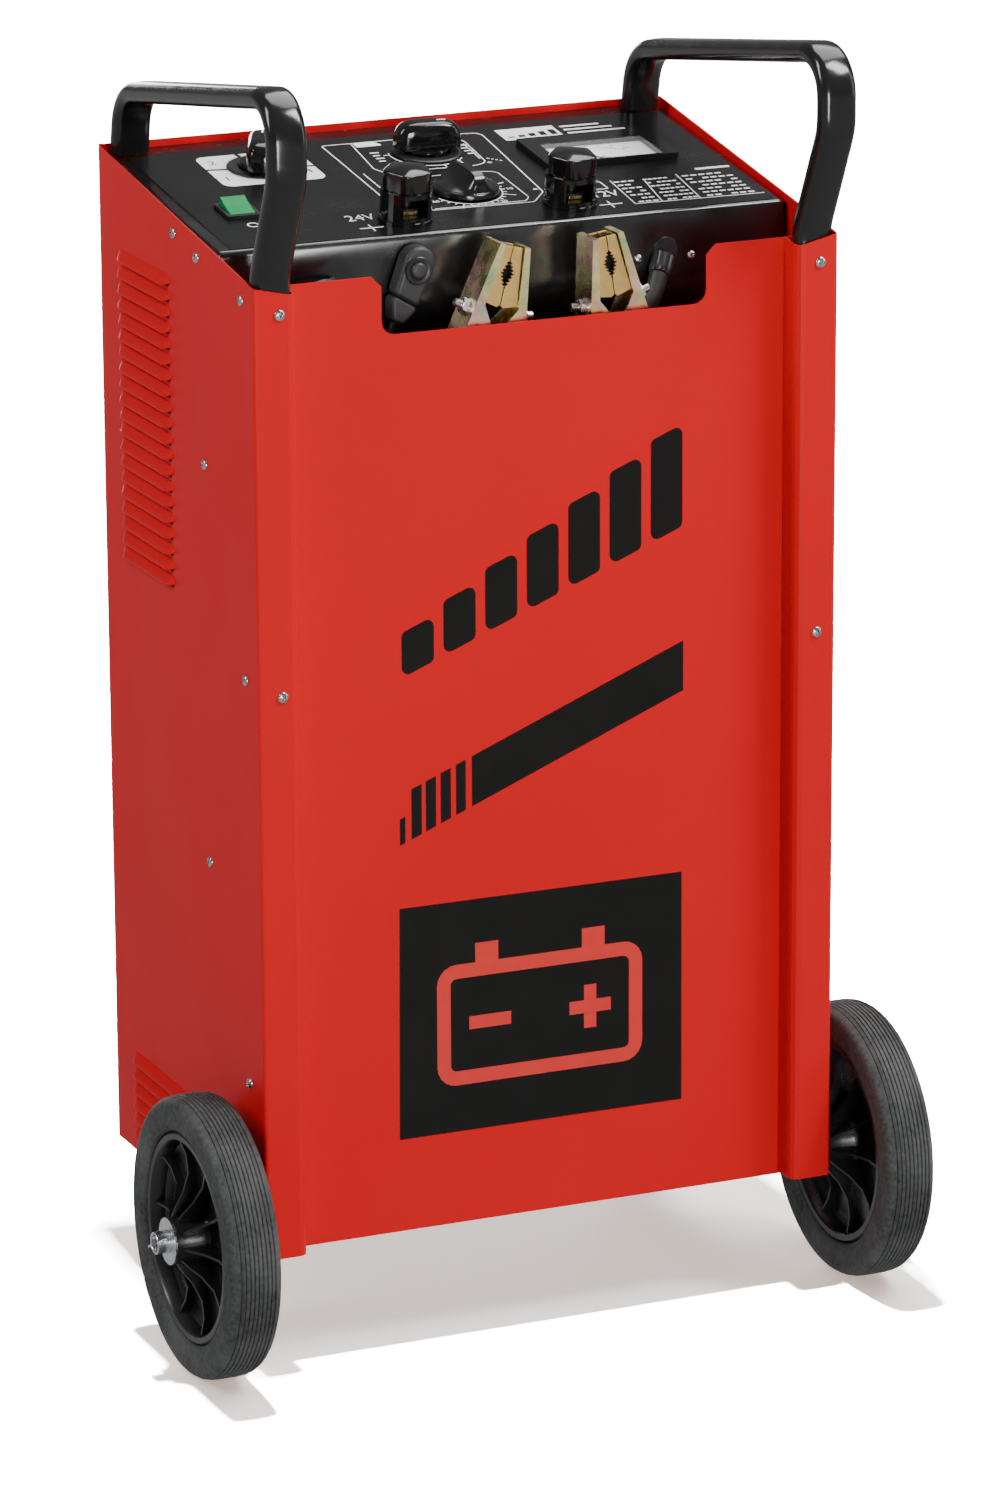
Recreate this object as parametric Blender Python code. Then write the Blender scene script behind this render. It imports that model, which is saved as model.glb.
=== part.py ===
"""Wheeled car battery charger and starter, built as separate named pieces.

Metres, +Z up, +X to the right, the control side faces -Y. The origin lies on the floor under
the middle of the whole machine. Sizes below are for the steel casing, whose own centre line is
CASING_SHIFT behind the origin, because the wheels stand further forward than the casing.
"""

import math

import bmesh
import bpy
from mathutils import Matrix, Vector

# ---- driving dimensions -------------------------------------------------------------------
GAP = 0.0003                    # clearance between touching pieces
SHEET = 0.0015                  # thickness of the painted sheet steel

HALF_WIDTH = 0.2716             # casing, centre to outer side face
HALF_DEPTH = 0.1800             # casing, centre to column front
BACK_Y = 0.1910                 # outer face of the casing's back
BOTTOM_Z = 0.108                # lower edge of the casing
FRONT_TOP_Z = 0.968             # outer top corner of a front column
TOP_SLOPE = 0.1583              # rise of the casing's top edge towards the back
COLUMN_TOP_SLOPE = 0.23         # fall of a column's top edge towards the middle
COLUMN_WIDTH = 0.0391           # front face of a corner column
PANEL_RECESS = 0.0268           # front panel behind the column faces
REAR_FLANGE = 0.027             # return of a side panel behind the back panel
CORNER_R = 0.008                # folded corners of the side panels

CUTOUT_LEFT, CUTOUT_RIGHT = -0.1445, 0.1585   # opening of the cable bin in the front panel
CUTOUT_Z = 0.9113
PANEL_TOP_Z = 0.9627
CUTOUT_CHAMFER = 0.009
CUTOUT_R = 0.012

FOLD_Y, FOLD_Z = -0.083, 0.980  # front fold of the console
CONSOLE_SLOPE = 0.1449          # rise of the console towards the back
CONSOLE_HALF = 0.2690
CONSOLE_BACK_Y = 0.1860
CONSOLE_FLANGE_Z = 0.895        # lower edge of the console's flanges
CONSOLE_SHOULDER = 0.008        # bend radius of its side edges
LABEL_SKIN = 0.0006             # room for the printed film on the console

BIN_FLOOR_Z = 0.598

WHEEL_R = 0.125
WHEEL_INNER, WHEEL_OUTER = 0.2890, 0.3364
RIM_R = 0.0940
BOSS_HALF = 0.0339              # half the length of a wheel's boss
AXLE_R = 0.0100
AXLE_HALF = 0.3610
AXLE_Y = -0.1405                # from the casing centre
HUB_BORE_R = 0.0108

HANDLE_X = 0.2520
HANDLE_WIDTH = 0.0350
HANDLE_THICK = 0.0195
HANDLE_CORNER = 0.0090
HANDLE_FRONT_Y = -0.1675        # where the front leg enters the column
HANDLE_TOE_IN = math.radians(1.0)

GLAND_REACH = 0.022             # mains gland behind the back panel
FRONT_REACH = WHEEL_R - AXLE_Y  # foremost point, the tyres
CASING_SHIFT = (FRONT_REACH - BACK_Y - GLAND_REACH) / 2

CABLE_D = 0.016
PENDANT_CABLE_D = 0.0055
CLAMP_Y = -0.130                # depth at which the two clamps stand in the bin

LEG_X, LEG_Y = 0.235, 0.150
FOOT_HEIGHT = 0.0120

# ---- materials ----------------------------------------------------------------------------
FINISHES = {
    "red_paint": ((0.62, 0.028, 0.022), 0.35, 0.0),
    "black_paint": ((0.012, 0.012, 0.013), 0.42, 0.0),
    "satin_plastic": ((0.010, 0.010, 0.011), 0.38, 0.0),
    "gloss_plastic": ((0.006, 0.006, 0.007), 0.14, 0.0),
    "pendant_plastic": ((0.040, 0.041, 0.044), 0.55, 0.0),
    "green_plastic": ((0.005, 0.29, 0.11), 0.30, 0.0),
    "clear_plastic": ((0.85, 0.87, 0.88), 0.08, 0.0),
    "tyre_rubber": ((0.040, 0.042, 0.045), 0.80, 0.0),
    "cable_rubber": ((0.016, 0.016, 0.017), 0.60, 0.0),
    "zinc_steel": ((0.62, 0.63, 0.64), 0.32, 1.0),
    "yellow_zinc": ((0.68, 0.57, 0.30), 0.30, 1.0),
    "brass": ((0.78, 0.56, 0.24), 0.28, 1.0),
    "core_steel": ((0.16, 0.16, 0.17), 0.55, 0.6),
    "winding": ((0.42, 0.17, 0.07), 0.45, 0.3),
    "aluminium": ((0.72, 0.73, 0.74), 0.38, 1.0),
}


def material(name):
    """The named finish as a Principled material, made once."""
    found = bpy.data.materials.get(name)
    if found:
        return found
    colour, roughness, metallic = FINISHES[name]
    made = bpy.data.materials.new(name)
    made.use_nodes = True
    shader = made.node_tree.nodes["Principled BSDF"]
    shader.inputs["Base Color"].default_value = (*colour, 1.0)
    shader.inputs["Roughness"].default_value = roughness
    shader.inputs["Metallic"].default_value = metallic
    made.diffuse_color = (*colour, 1.0)
    return made


# ---- frames -------------------------------------------------------------------------------
def clear_scene():
    for old in list(bpy.data.objects):
        bpy.data.objects.remove(old, do_unlink=True)


def empty(name, location, rotation=(0.0, 0.0, 0.0), parent=None):
    holder = bpy.data.objects.new(name, None)
    holder.location = location
    holder.rotation_euler = rotation
    holder.parent = parent
    bpy.context.scene.collection.objects.link(holder)
    return holder


# ---- shape helpers ------------------------------------------------------------------------
def arc(centre, radius, start_deg, end_deg, steps):
    """Points of an arc in a plane, both ends included."""
    points = []
    for i in range(steps + 1):
        angle = math.radians(start_deg + (end_deg - start_deg) * i / steps)
        points.append((centre[0] + radius * math.cos(angle), centre[1] + radius * math.sin(angle)))
    return points


def rounded(corners, radii, steps=3):
    """A closed outline or a path whose corners are replaced by arcs; radius 0 keeps a corner."""
    count = len(corners)
    points = []
    for i, radius in enumerate(radii):
        corner = Vector(corners[i])
        if radius == 0:
            points.append(tuple(corner))
            continue
        before = (Vector(corners[i - 1]) - corner).normalized()
        after = (Vector(corners[(i + 1) % count]) - corner).normalized()
        half = before.angle(after) / 2
        reach = radius / math.tan(half)
        centre = corner + (before + after).normalized() * radius / math.sin(half)
        first = corner + before * reach - centre
        last = corner + after * reach - centre
        sweep = first.angle_signed(last)
        for k in range(steps + 1):
            turned = first.copy()
            turned.rotate(Matrix.Rotation(-sweep * k / steps, 2))
            points.append(tuple(centre + turned))
    return points


def prism_mesh(outline, axis, start, end):
    """A closed outline pushed along one axis; the outline's plane is the other two, in order."""
    bm = bmesh.new()
    rows = []
    for depth in (start, end):
        row = []
        for a, b in outline:
            place = {"X": (depth, a, b), "Y": (a, depth, b), "Z": (a, b, depth)}[axis]
            row.append(bm.verts.new(place))
        rows.append(row)
    bm.faces.new(rows[0])
    bm.faces.new(list(reversed(rows[1])))
    for i in range(len(outline)):
        j = (i + 1) % len(outline)
        bm.faces.new((rows[0][j], rows[0][i], rows[1][i], rows[1][j]))
    bmesh.ops.recalc_face_normals(bm, faces=bm.faces)
    return bm


def turned_mesh(profile, segments, axis="Z"):
    """A closed outline of (radius, height) points turned about an axis."""
    bm = bmesh.new()
    rings = []
    for radius, height in profile:
        if radius < 1e-6:
            rings.append([bm.verts.new((0, 0, height))])
            continue
        ring = []
        for i in range(segments):
            angle = 2 * math.pi * i / segments
            ring.append(bm.verts.new((radius * math.cos(angle), radius * math.sin(angle), height)))
        rings.append(ring)
    for ring, following in zip(rings, rings[1:] + rings[:1]):
        if len(ring) == 1 and len(following) == 1:
            continue
        for i in range(segments):
            j = (i + 1) % segments
            if len(ring) == 1:
                bm.faces.new((ring[0], following[j], following[i]))
            elif len(following) == 1:
                bm.faces.new((ring[i], ring[j], following[0]))
            else:
                bm.faces.new((ring[i], ring[j], following[j], following[i]))
    if axis == "X":
        bmesh.ops.rotate(bm, verts=bm.verts, matrix=Matrix.Rotation(math.radians(90), 3, "Y"))
    if axis == "Y":
        bmesh.ops.rotate(bm, verts=bm.verts, matrix=Matrix.Rotation(math.radians(-90), 3, "X"))
    bmesh.ops.recalc_face_normals(bm, faces=bm.faces)
    return bm


def box_mesh(low, high):
    outline = [(low[0], low[1]), (high[0], low[1]), (high[0], high[1]), (low[0], high[1])]
    return prism_mesh(outline, "Z", low[2], high[2])


def rounded_box_mesh(low, high, radius, steps=2):
    """A box whose upright edges are rounded."""
    corners = [(low[0], low[1]), (high[0], low[1]), (high[0], high[1]), (low[0], high[1])]
    return prism_mesh(rounded(corners, [radius] * 4, steps), "Z", low[2], high[2])


def swept_mesh(section, path):
    """A section of (across, normal) points swept along a path of (y, z) points."""
    bm = bmesh.new()
    rows = []
    for i, point in enumerate(path):
        here = Vector(point)
        ahead = Vector(path[min(i + 1, len(path) - 1)])
        behind = Vector(path[max(i - 1, 0)])
        into = (here - behind).normalized() if i else (ahead - here).normalized()
        out = (ahead - here).normalized() if i < len(path) - 1 else into
        tangent = (into + out).normalized()
        stretch = 1 / max(tangent.dot(into), 0.5)
        normal = Vector((-tangent.y, tangent.x)) * stretch
        rows.append([bm.verts.new((across, *(here + normal * lift))) for across, lift in section])
    for row, following in zip(rows, rows[1:]):
        for i in range(len(section)):
            j = (i + 1) % len(section)
            bm.faces.new((row[i], row[j], following[j], following[i]))
    bm.faces.new(rows[0])
    bm.faces.new(rows[-1])
    bmesh.ops.recalc_face_normals(bm, faces=bm.faces)
    return bm


def piece(name, bm, finish, parent=None, location=(0.0, 0.0, 0.0), rotation=(0.0, 0.0, 0.0)):
    """Turn a bmesh into a named object with one finish."""
    mesh = bpy.data.meshes.new(name)
    bm.to_mesh(mesh)
    bm.free()
    mesh.shade_smooth()
    mesh.set_sharp_from_angle(angle=math.radians(35))
    made = bpy.data.objects.new(name, mesh)
    made.parent = parent
    made.location = location
    made.rotation_euler = rotation
    bpy.context.scene.collection.objects.link(made)
    mesh.materials.append(material(finish))
    return made


def tool(name, bm, target, operation="DIFFERENCE", location=(0.0, 0.0, 0.0), rotation=(0.0, 0.0, 0.0)):
    """A hidden helper that is cut from the target, or joined to it, in the target's own frame."""
    helper = piece(name, bm, "zinc_steel", target, location, rotation)
    helper.hide_render = True
    helper.display_type = "WIRE"
    step = target.modifiers.new(name, "BOOLEAN")
    step.operation = operation
    step.object = helper
    return helper


def drill(target, name, centre, radius, axis, length, segments=20):
    """A round hole through the target, centred on a point, along one axis."""
    profile = [(0, -length / 2), (radius, -length / 2), (radius, length / 2), (0, length / 2)]
    tool(name, turned_mesh(profile, segments, axis), target, location=centre)


def mirror_x(bm):
    """The same shape on the other side of the middle plane."""
    bmesh.ops.scale(bm, verts=bm.verts, vec=(-1, 1, 1))
    bmesh.ops.reverse_faces(bm, faces=bm.faces)
    return bm


def smooth_route(points, spacing):
    """Points at an even spacing on one smooth curve through the route's own points.

    One more point close to each end keeps the end faces square to the curve.
    """
    nodes = [Vector(p) for p in points]
    nodes = [2 * nodes[0] - nodes[1]] + nodes + [2 * nodes[-1] - nodes[-2]]
    fine = []
    for a, b, c, d in zip(nodes, nodes[1:], nodes[2:], nodes[3:]):
        for k in range(24):
            t = k / 24
            fine.append(0.5 * (2 * b + (c - a) * t + (2 * a - 5 * b + 4 * c - d) * t ** 2
                               + (3 * b - a - 3 * c + d) * t ** 3))
    fine.append(nodes[-2])
    total = sum((q - p).length for p, q in zip(fine, fine[1:]))
    count = max(2, round(total / spacing))
    step = total / count
    marks = [step * 0.2] + [step * i for i in range(1, count)] + [total - step * 0.2]
    even = [fine[0]]
    walked = 0.0
    for p, q in zip(fine, fine[1:]):
        length = (q - p).length
        while marks and walked + length >= marks[0]:
            even.append(p.lerp(q, (marks.pop(0) - walked) / length))
        walked += length
    return even + [fine[-1]]


def cable(name, points, diameter, finish, parent, spacing):
    """A round cable along a route, as one polyline with filled ends."""
    curve = bpy.data.curves.new(name, "CURVE")
    curve.dimensions = "3D"
    curve.bevel_depth = diameter / 2
    curve.bevel_resolution = 2
    curve.render_resolution_u = 0
    curve.use_fill_caps = True
    route = smooth_route(points, spacing)
    spline = curve.splines.new("POLY")
    spline.points.add(len(route) - 1)
    for slot, point in zip(spline.points, route):
        slot.co = (*point, 1.0)
    made = bpy.data.objects.new(name, curve)
    made.parent = parent
    bpy.context.scene.collection.objects.link(made)
    curve.materials.append(material(finish))


# ---- casing -------------------------------------------------------------------------------
def top_edge_z(x, y):
    """Height of the casing's sloping top edge."""
    return FRONT_TOP_Z + (y + HALF_DEPTH) * TOP_SLOPE - (HALF_WIDTH - abs(x)) * COLUMN_TOP_SLOPE


def side_outline():
    """Plan of the right side panel: column return, column face, side wall and rear flange."""
    inner = HALF_WIDTH - COLUMN_WIDTH
    rear = HALF_WIDTH - REAR_FLANGE
    recess_y = -HALF_DEPTH + PANEL_RECESS
    outside = [(inner, recess_y), (inner, -HALF_DEPTH), (HALF_WIDTH, -HALF_DEPTH),
               (HALF_WIDTH, BACK_Y), (rear, BACK_Y)]
    inside = [(rear, BACK_Y - SHEET), (HALF_WIDTH - SHEET, BACK_Y - SHEET),
              (HALF_WIDTH - SHEET, -HALF_DEPTH + SHEET), (inner + SHEET, -HALF_DEPTH + SHEET),
              (inner + SHEET, recess_y)]
    tight = 0.003
    outer_radii = [0, CORNER_R, tight, CORNER_R, 0]
    inner_radii = [0, CORNER_R - SHEET, tight - SHEET, CORNER_R - SHEET, 0]
    return rounded(outside + inside, outer_radii + inner_radii, 3)


def slope_top(bm):
    """Cut the casing's sloping top edge, for pieces on the right-hand side."""
    normal = Vector((-COLUMN_TOP_SLOPE, -TOP_SLOPE, 1.0)).normalized()
    on_plane = Vector((HALF_WIDTH, -HALF_DEPTH, FRONT_TOP_Z))
    geometry = bm.verts[:] + bm.edges[:] + bm.faces[:]
    cut = bmesh.ops.bisect_plane(bm, geom=geometry, plane_co=on_plane, plane_no=normal,
                                 clear_outer=True)
    edges = [e for e in cut["geom_cut"] if isinstance(e, bmesh.types.BMEdge)]
    bmesh.ops.contextual_create(bm, geom=edges)
    bmesh.ops.recalc_face_normals(bm, faces=bm.faces)


LOUVRE_COUNT, LOUVRE_PITCH = 20, 0.01405
LOUVRE_TOP_Z = 0.9335
LOUVRE_Y0, LOUVRE_Y1 = 0.018, 0.134
LOWER_LOUVRE_COUNT, LOWER_LOUVRE_TOP_Z = 6, 0.1955
SLOT_HEIGHT = 0.0042


def louvre_rows():
    """Heights of all louvre slots on a side panel."""
    upper = [LOUVRE_TOP_Z - i * LOUVRE_PITCH for i in range(LOUVRE_COUNT)]
    lower = [LOWER_LOUVRE_TOP_Z - i * LOUVRE_PITCH for i in range(LOWER_LOUVRE_COUNT)]
    return upper + lower


def slot_comb(x, y0, y1, rows):
    """All slots of a louvred wall as one cutter."""
    bm = bmesh.new()
    for z in rows:
        matrix = (Matrix.Translation((x, (y0 + y1) / 2, z))
                  @ Matrix.Diagonal((0.02, y1 - y0, SLOT_HEIGHT, 1)))
        bmesh.ops.create_cube(bm, size=1.0, matrix=matrix)
    return bm


def side_panels(casing):
    for side, name in ((-1, "side_panel_left"), (1, "side_panel_right")):
        bm = prism_mesh(side_outline(), "Z", BOTTOM_Z, 1.1)
        slope_top(bm)
        if side < 0:
            mirror_x(bm)
        wall = piece(name, bm, "red_paint", casing)
        wall_x = side * (HALF_WIDTH - SHEET / 2)
        tool(name + "_slots", slot_comb(wall_x, LOUVRE_Y0, LOUVRE_Y1, louvre_rows()), wall)
        drill(wall, name + "_axle_hole", (wall_x, AXLE_Y, WHEEL_R), AXLE_R + 0.0007, "X", 0.02)


def back_panel(casing):
    y = BACK_Y - SHEET - GAP
    half = HALF_WIDTH - CORNER_R - GAP
    top = top_edge_z(HALF_WIDTH, y) - 0.001
    wall = piece("back_panel", box_mesh((-half, y - SHEET, BOTTOM_Z), (half, y, top)),
                 "red_paint", casing)
    vents = bmesh.new()
    for row in range(8):
        matrix = (Matrix.Translation((0, y - SHEET / 2, 0.82 - row * 0.02))
                  @ Matrix.Diagonal((0.22, 0.02, 0.005, 1)))
        bmesh.ops.create_cube(vents, size=1.0, matrix=matrix)
    tool("back_vents", vents, wall)
    drill(wall, "mains_hole", (MAINS_X, y - SHEET / 2, MAINS_Z), 0.0103, "Y", 0.02)


MAINS_X, MAINS_Z = 0.170, 0.230


def mains_gland(casing):
    """Screwed cable gland: sleeve through the back panel, flange, nut and dome."""
    base = BACK_Y + GAP
    shoulder = base - 3 * SHEET
    end = BACK_Y + GLAND_REACH
    profile = [(0.0045, shoulder - 0.006), (0.010, shoulder - 0.006), (0.010, base), (0.0155, base),
               (0.0155, base + 0.007), (0.013, base + 0.008), (0.013, base + 0.015),
               (0.009, end), (0.0045, end)]
    bm = turned_mesh(profile, 18, "Y")
    piece("mains_gland", bm, "satin_plastic", casing, (MAINS_X, 0, MAINS_Z))


def front_panel(casing):
    """Recessed flat panel with the cut-out of the cable bin in its top edge."""
    half = HALF_WIDTH - SHEET - 0.002
    lift = CUTOUT_CHAMFER
    corners = [(-half, BOTTOM_Z - 0.002), (half, BOTTOM_Z - 0.002), (half, PANEL_TOP_Z),
               (CUTOUT_RIGHT + lift, PANEL_TOP_Z), (CUTOUT_RIGHT, PANEL_TOP_Z - lift),
               (CUTOUT_RIGHT, CUTOUT_Z), (CUTOUT_LEFT, CUTOUT_Z),
               (CUTOUT_LEFT, PANEL_TOP_Z - lift), (CUTOUT_LEFT - lift, PANEL_TOP_Z),
               (-half, PANEL_TOP_Z)]
    radii = [0, 0, 0, 0, 0, CUTOUT_R, CUTOUT_R, 0, 0, 0]
    front = -HALF_DEPTH + PANEL_RECESS + GAP
    bm = prism_mesh(rounded(corners, radii, 4), "Y", front, front + SHEET)
    piece("front_panel", bm, "red_paint", casing)


def chassis_base(casing):
    """Floor pan with raised sides, whose front end carries the axle tube."""
    half = CONSOLE_HALF
    front = -HALF_DEPTH + PANEL_RECESS + SHEET + 2 * GAP
    back = CONSOLE_BACK_Y
    plate = 0.002
    pan = piece("chassis_base", box_mesh((-half, front, BOTTOM_Z), (half, back, 0.155)),
                "black_paint", casing)
    hollow = box_mesh((-half + plate, front - 0.01, BOTTOM_Z + plate),
                      (half - plate, back - plate, 0.2))
    tool("pan_hollow", hollow, pan)
    drill(pan, "pan_axle_hole", (0, AXLE_Y, WHEEL_R), AXLE_R + GAP, "X", 0.6)


# ---- console and cable bin ----------------------------------------------------------------
def console_z(y):
    return FOLD_Z + (y - FOLD_Y) * CONSOLE_SLOPE


CABLE_HOLE = (0.1513, 0.9455)
PENDANT_HOLE = (-0.1609, 0.9480)
ROCKER = (-0.2110, 0.0912)
CHARGE_SELECTOR = (-0.1490, 0.1935)
BOOST_SELECTOR = (0.0095, 0.1960)
TIMER = (0.0020, 0.0900)
TERMINALS = {"24": (-0.0771, 0.0380), "12": (0.0785, 0.0392)}
AMMETER = (0.1590, 0.1600)
AMMETER_SIZE = (0.1280, 0.0710)
CABLE_EXIT = Vector((-0.45, -0.50, -0.74)).normalized()
SLEEVE_REACH = 0.0240
SLEEVE_R = 0.0098


def console_shell(inset):
    """Wedge-shaped hood, smaller by the inset on every side, with rounded upper side edges."""
    drop = inset * math.hypot(1, CONSOLE_SLOPE)
    low = CONSOLE_FLANGE_Z - (0.01 if inset else 0)
    back = CONSOLE_BACK_Y + (0.01 if inset else 0)
    front = FOLD_Y + inset
    outline = [(front, low), (back, low), (back, console_z(back) - drop),
               (front, console_z(front) - drop)]
    half = CONSOLE_HALF - inset
    bm = prism_mesh(outline, "X", -half, half)
    edges = []
    for edge in bm.edges:
        a, b = edge.verts
        on_side = abs(a.co.x - b.co.x) < 1e-6
        high = min(a.co.z, b.co.z) > FOLD_Z - 0.02
        if on_side and high:
            edges.append(edge)
    bmesh.ops.bevel(bm, geom=edges, offset=CONSOLE_SHOULDER - inset, offset_type="OFFSET",
                    segments=4, profile=0.5, affect="EDGES")
    return bm


def console_panel(casing, console):
    """Folded black hood that carries every control."""
    hood = piece("console_panel", console_shell(0.0), "black_paint", casing)
    tool("hood_hollow", console_shell(SHEET), hood)
    drill(hood, "cable_hole", (CABLE_HOLE[0], FOLD_Y, CABLE_HOLE[1]), 0.0100, "Y", 0.02)
    drill(hood, "pendant_hole", (PENDANT_HOLE[0], FOLD_Y, PENDANT_HOLE[1]), 0.0035, "Y", 0.02, 12)
    place = console.matrix_local
    turn = console.rotation_euler
    round_holes = [(CHARGE_SELECTOR, 0.0110), (BOOST_SELECTOR, 0.0110), (TIMER, 0.0080),
                   (TERMINALS["24"], 0.0115), (TERMINALS["12"], 0.0115)]
    for i, (spot, radius) in enumerate(round_holes):
        profile = [(0, -0.02), (radius, -0.02), (radius, 0.02), (0, 0.02)]
        tool(f"console_hole_{i}", turned_mesh(profile, 20), hood,
             location=place @ Vector((*spot, 0)), rotation=turn)
    for name, spot, size in (("rocker_cut", ROCKER, (0.0275, 0.0325)),
                             ("ammeter_cut", AMMETER, (0.1000, 0.0520))):
        half = (size[0] / 2, size[1] / 2)
        tool(name, box_mesh((-half[0], -half[1], -0.02), (half[0], half[1], 0.02)), hood,
             location=place @ Vector((*spot, 0)), rotation=turn)


def cable_bin(casing):
    """Folded sheet behind the front panel: rear wall and floor of the cable bin."""
    half = HALF_WIDTH - SHEET - 0.002
    rear = FOLD_Y + SHEET
    front = -HALF_DEPTH + PANEL_RECESS + SHEET + 2 * GAP
    corners = [(front, BIN_FLOOR_Z), (rear, BIN_FLOOR_Z), (rear, CONSOLE_FLANGE_Z - GAP),
               (rear - SHEET, CONSOLE_FLANGE_Z - GAP), (rear - SHEET, BIN_FLOOR_Z + SHEET),
               (front, BIN_FLOOR_Z + SHEET)]
    bm = prism_mesh(rounded(corners, [0, 0.004, 0, 0, 0.0025, 0], 3), "X", -half, half)
    piece("cable_bin", bm, "black_paint", casing)


def handle_path():
    """Centre line of a handle, from the rear foot to inside the column, measured from there."""
    top_slope = -0.156
    corner_y = 0.1645
    bulge_y = -0.2115
    crest_z = 1.1225
    start = (0.1750, console_z(0.1750) + 0.0022)
    corner = (corner_y, crest_z + (corner_y + 0.1445) * top_slope)
    crest = (bulge_y, crest_z + (bulge_y + 0.1445) * top_slope)
    corners = [start, corner, crest, (bulge_y, 1.066), (HANDLE_FRONT_Y, 0.973),
               (HANDLE_FRONT_Y, 0.915)]
    path = rounded(corners, [0, 0.045, 0.034, 0.050, 0.050, 0], 6)
    return [(y - HANDLE_FRONT_Y, z) for y, z in path]


def handles(casing):
    half, thick = HANDLE_WIDTH / 2, HANDLE_THICK / 2
    corners = [(-half, -thick), (half, -thick), (half, thick), (-half, thick)]
    section = rounded(corners, [HANDLE_CORNER] * 4, 3)
    for side, name in ((-1, "handle_left"), (1, "handle_right")):
        bm = swept_mesh(section, handle_path())
        piece(name, bm, "satin_plastic", casing, (side * HANDLE_X, HANDLE_FRONT_Y, 0),
              (0, 0, side * HANDLE_TOE_IN))


def cable_grommet(casing):
    """Rubber grommet whose slanted sleeve lets the heavy cable leave close to the sheet."""
    flange = 0.0140
    profile = [(0, -GAP), (flange, -GAP), (flange, -0.0020), (flange - 0.002, -0.0035), (0, -0.0040)]
    bm = turned_mesh(profile, 20, "Y")
    grommet = piece("cable_grommet", bm, "cable_rubber", casing, (CABLE_HOLE[0], FOLD_Y, CABLE_HOLE[1]))
    sleeve = [(0, -0.0100), (SLEEVE_R, -0.0100), (SLEEVE_R, SLEEVE_REACH), (0, SLEEVE_REACH)]
    turn = CABLE_EXIT.to_track_quat("Z", "Y").to_euler()
    tool("grommet_sleeve", turned_mesh(sleeve, 16), grommet, "UNION", rotation=turn)
    tool("grommet_back", box_mesh((-0.03, -GAP, -0.03), (0.03, 0.03, 0.03)), grommet)
    plug = [(0, -0.002), (0.0095, -0.002), (0.0095, 0.004), (0, 0.004)]
    tool("grommet_plug", turned_mesh(plug, 20, "Y"), grommet, "UNION")


# ---- running gear -------------------------------------------------------------------------
def tyre_profile():
    """Solid rubber tyre: flat tread with rounded shoulders, pulled in towards the rim."""
    half = (WHEEL_OUTER - WHEEL_INNER) / 2
    shoulder = 0.005
    outer = arc((WHEEL_R - shoulder, half - shoulder), shoulder, 0, 90, 3)
    upper = outer + [(RIM_R + 0.010, half), (RIM_R + GAP, half - 0.005)]
    lower = [(r, -h) for r, h in reversed(upper)]
    return upper + lower


def hub_profile():
    """Dished wheel centre: rim ring, thin web and a long boss."""
    half = (WHEEL_OUTER - WHEEL_INNER) / 2
    rim = RIM_R - 0.009
    boss = 0.021
    return [(RIM_R, -half + 0.006), (RIM_R, half - 0.006), (rim + 0.002, half - 0.004),
            (rim, half - 0.007), (rim - 0.003, 0.004), (boss + 0.004, 0.003), (boss, BOSS_HALF),
            (HUB_BORE_R, BOSS_HALF), (HUB_BORE_R, -BOSS_HALF), (boss, -BOSS_HALF),
            (boss + 0.004, -0.003),
            (rim - 0.003, -0.004), (rim, -half + 0.006)]


def running_gear(casing):
    profile = [(0.0075, -AXLE_HALF), (AXLE_R, -AXLE_HALF), (AXLE_R, AXLE_HALF),
               (0.0075, AXLE_HALF)]
    axle_line = (0, AXLE_Y, WHEEL_R)
    piece("axle", turned_mesh(profile, 20, "X"), "zinc_steel", casing, axle_line)
    middle = (WHEEL_INNER + WHEEL_OUTER) / 2
    for side, name in ((-1, "left"), (1, "right")):
        spin = empty(f"wheel_spin_{name}", (side * middle, AXLE_Y, WHEEL_R), parent=casing)
        piece(f"tyre_{name}", turned_mesh(tyre_profile(), 40, "X"), "tyre_rubber", spin)
        piece(f"wheel_hub_{name}", turned_mesh(hub_profile(), 32, "X"), "satin_plastic", spin)
        bore = AXLE_R + GAP
        washer = [(bore, 0.0), (0.0210, 0.0), (0.0210, 0.0018), (bore, 0.0018)]
        at = side * (middle + BOSS_HALF + GAP)
        start = at if side > 0 else at - 0.0018
        piece(f"axle_washer_{name}", turned_mesh(washer, 24, "X"), "zinc_steel", casing,
              (start, AXLE_Y, WHEEL_R))


def rear_legs(casing):
    """Two short channel legs with rubber feet hold the back up."""
    top = BOTTOM_Z - GAP
    for side, name in ((-1, "left"), (1, "right")):
        outline = [(-0.015, -0.020), (0.015, -0.020), (0.015, 0.020), (0.0125, 0.020),
                   (0.0125, -0.0175), (-0.0125, -0.0175), (-0.0125, 0.020), (-0.015, 0.020)]
        leg = prism_mesh(outline, "Z", FOOT_HEIGHT + GAP, top)
        piece(f"rear_leg_{name}", leg, "black_paint", casing, (side * LEG_X, LEG_Y, 0))
        foot = rounded_box_mesh((-0.018, -0.023, 0), (0.018, 0.023, FOOT_HEIGHT), 0.005)
        piece(f"rear_foot_{name}", foot, "tyre_rubber", casing, (side * LEG_X, LEG_Y, 0))


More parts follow.
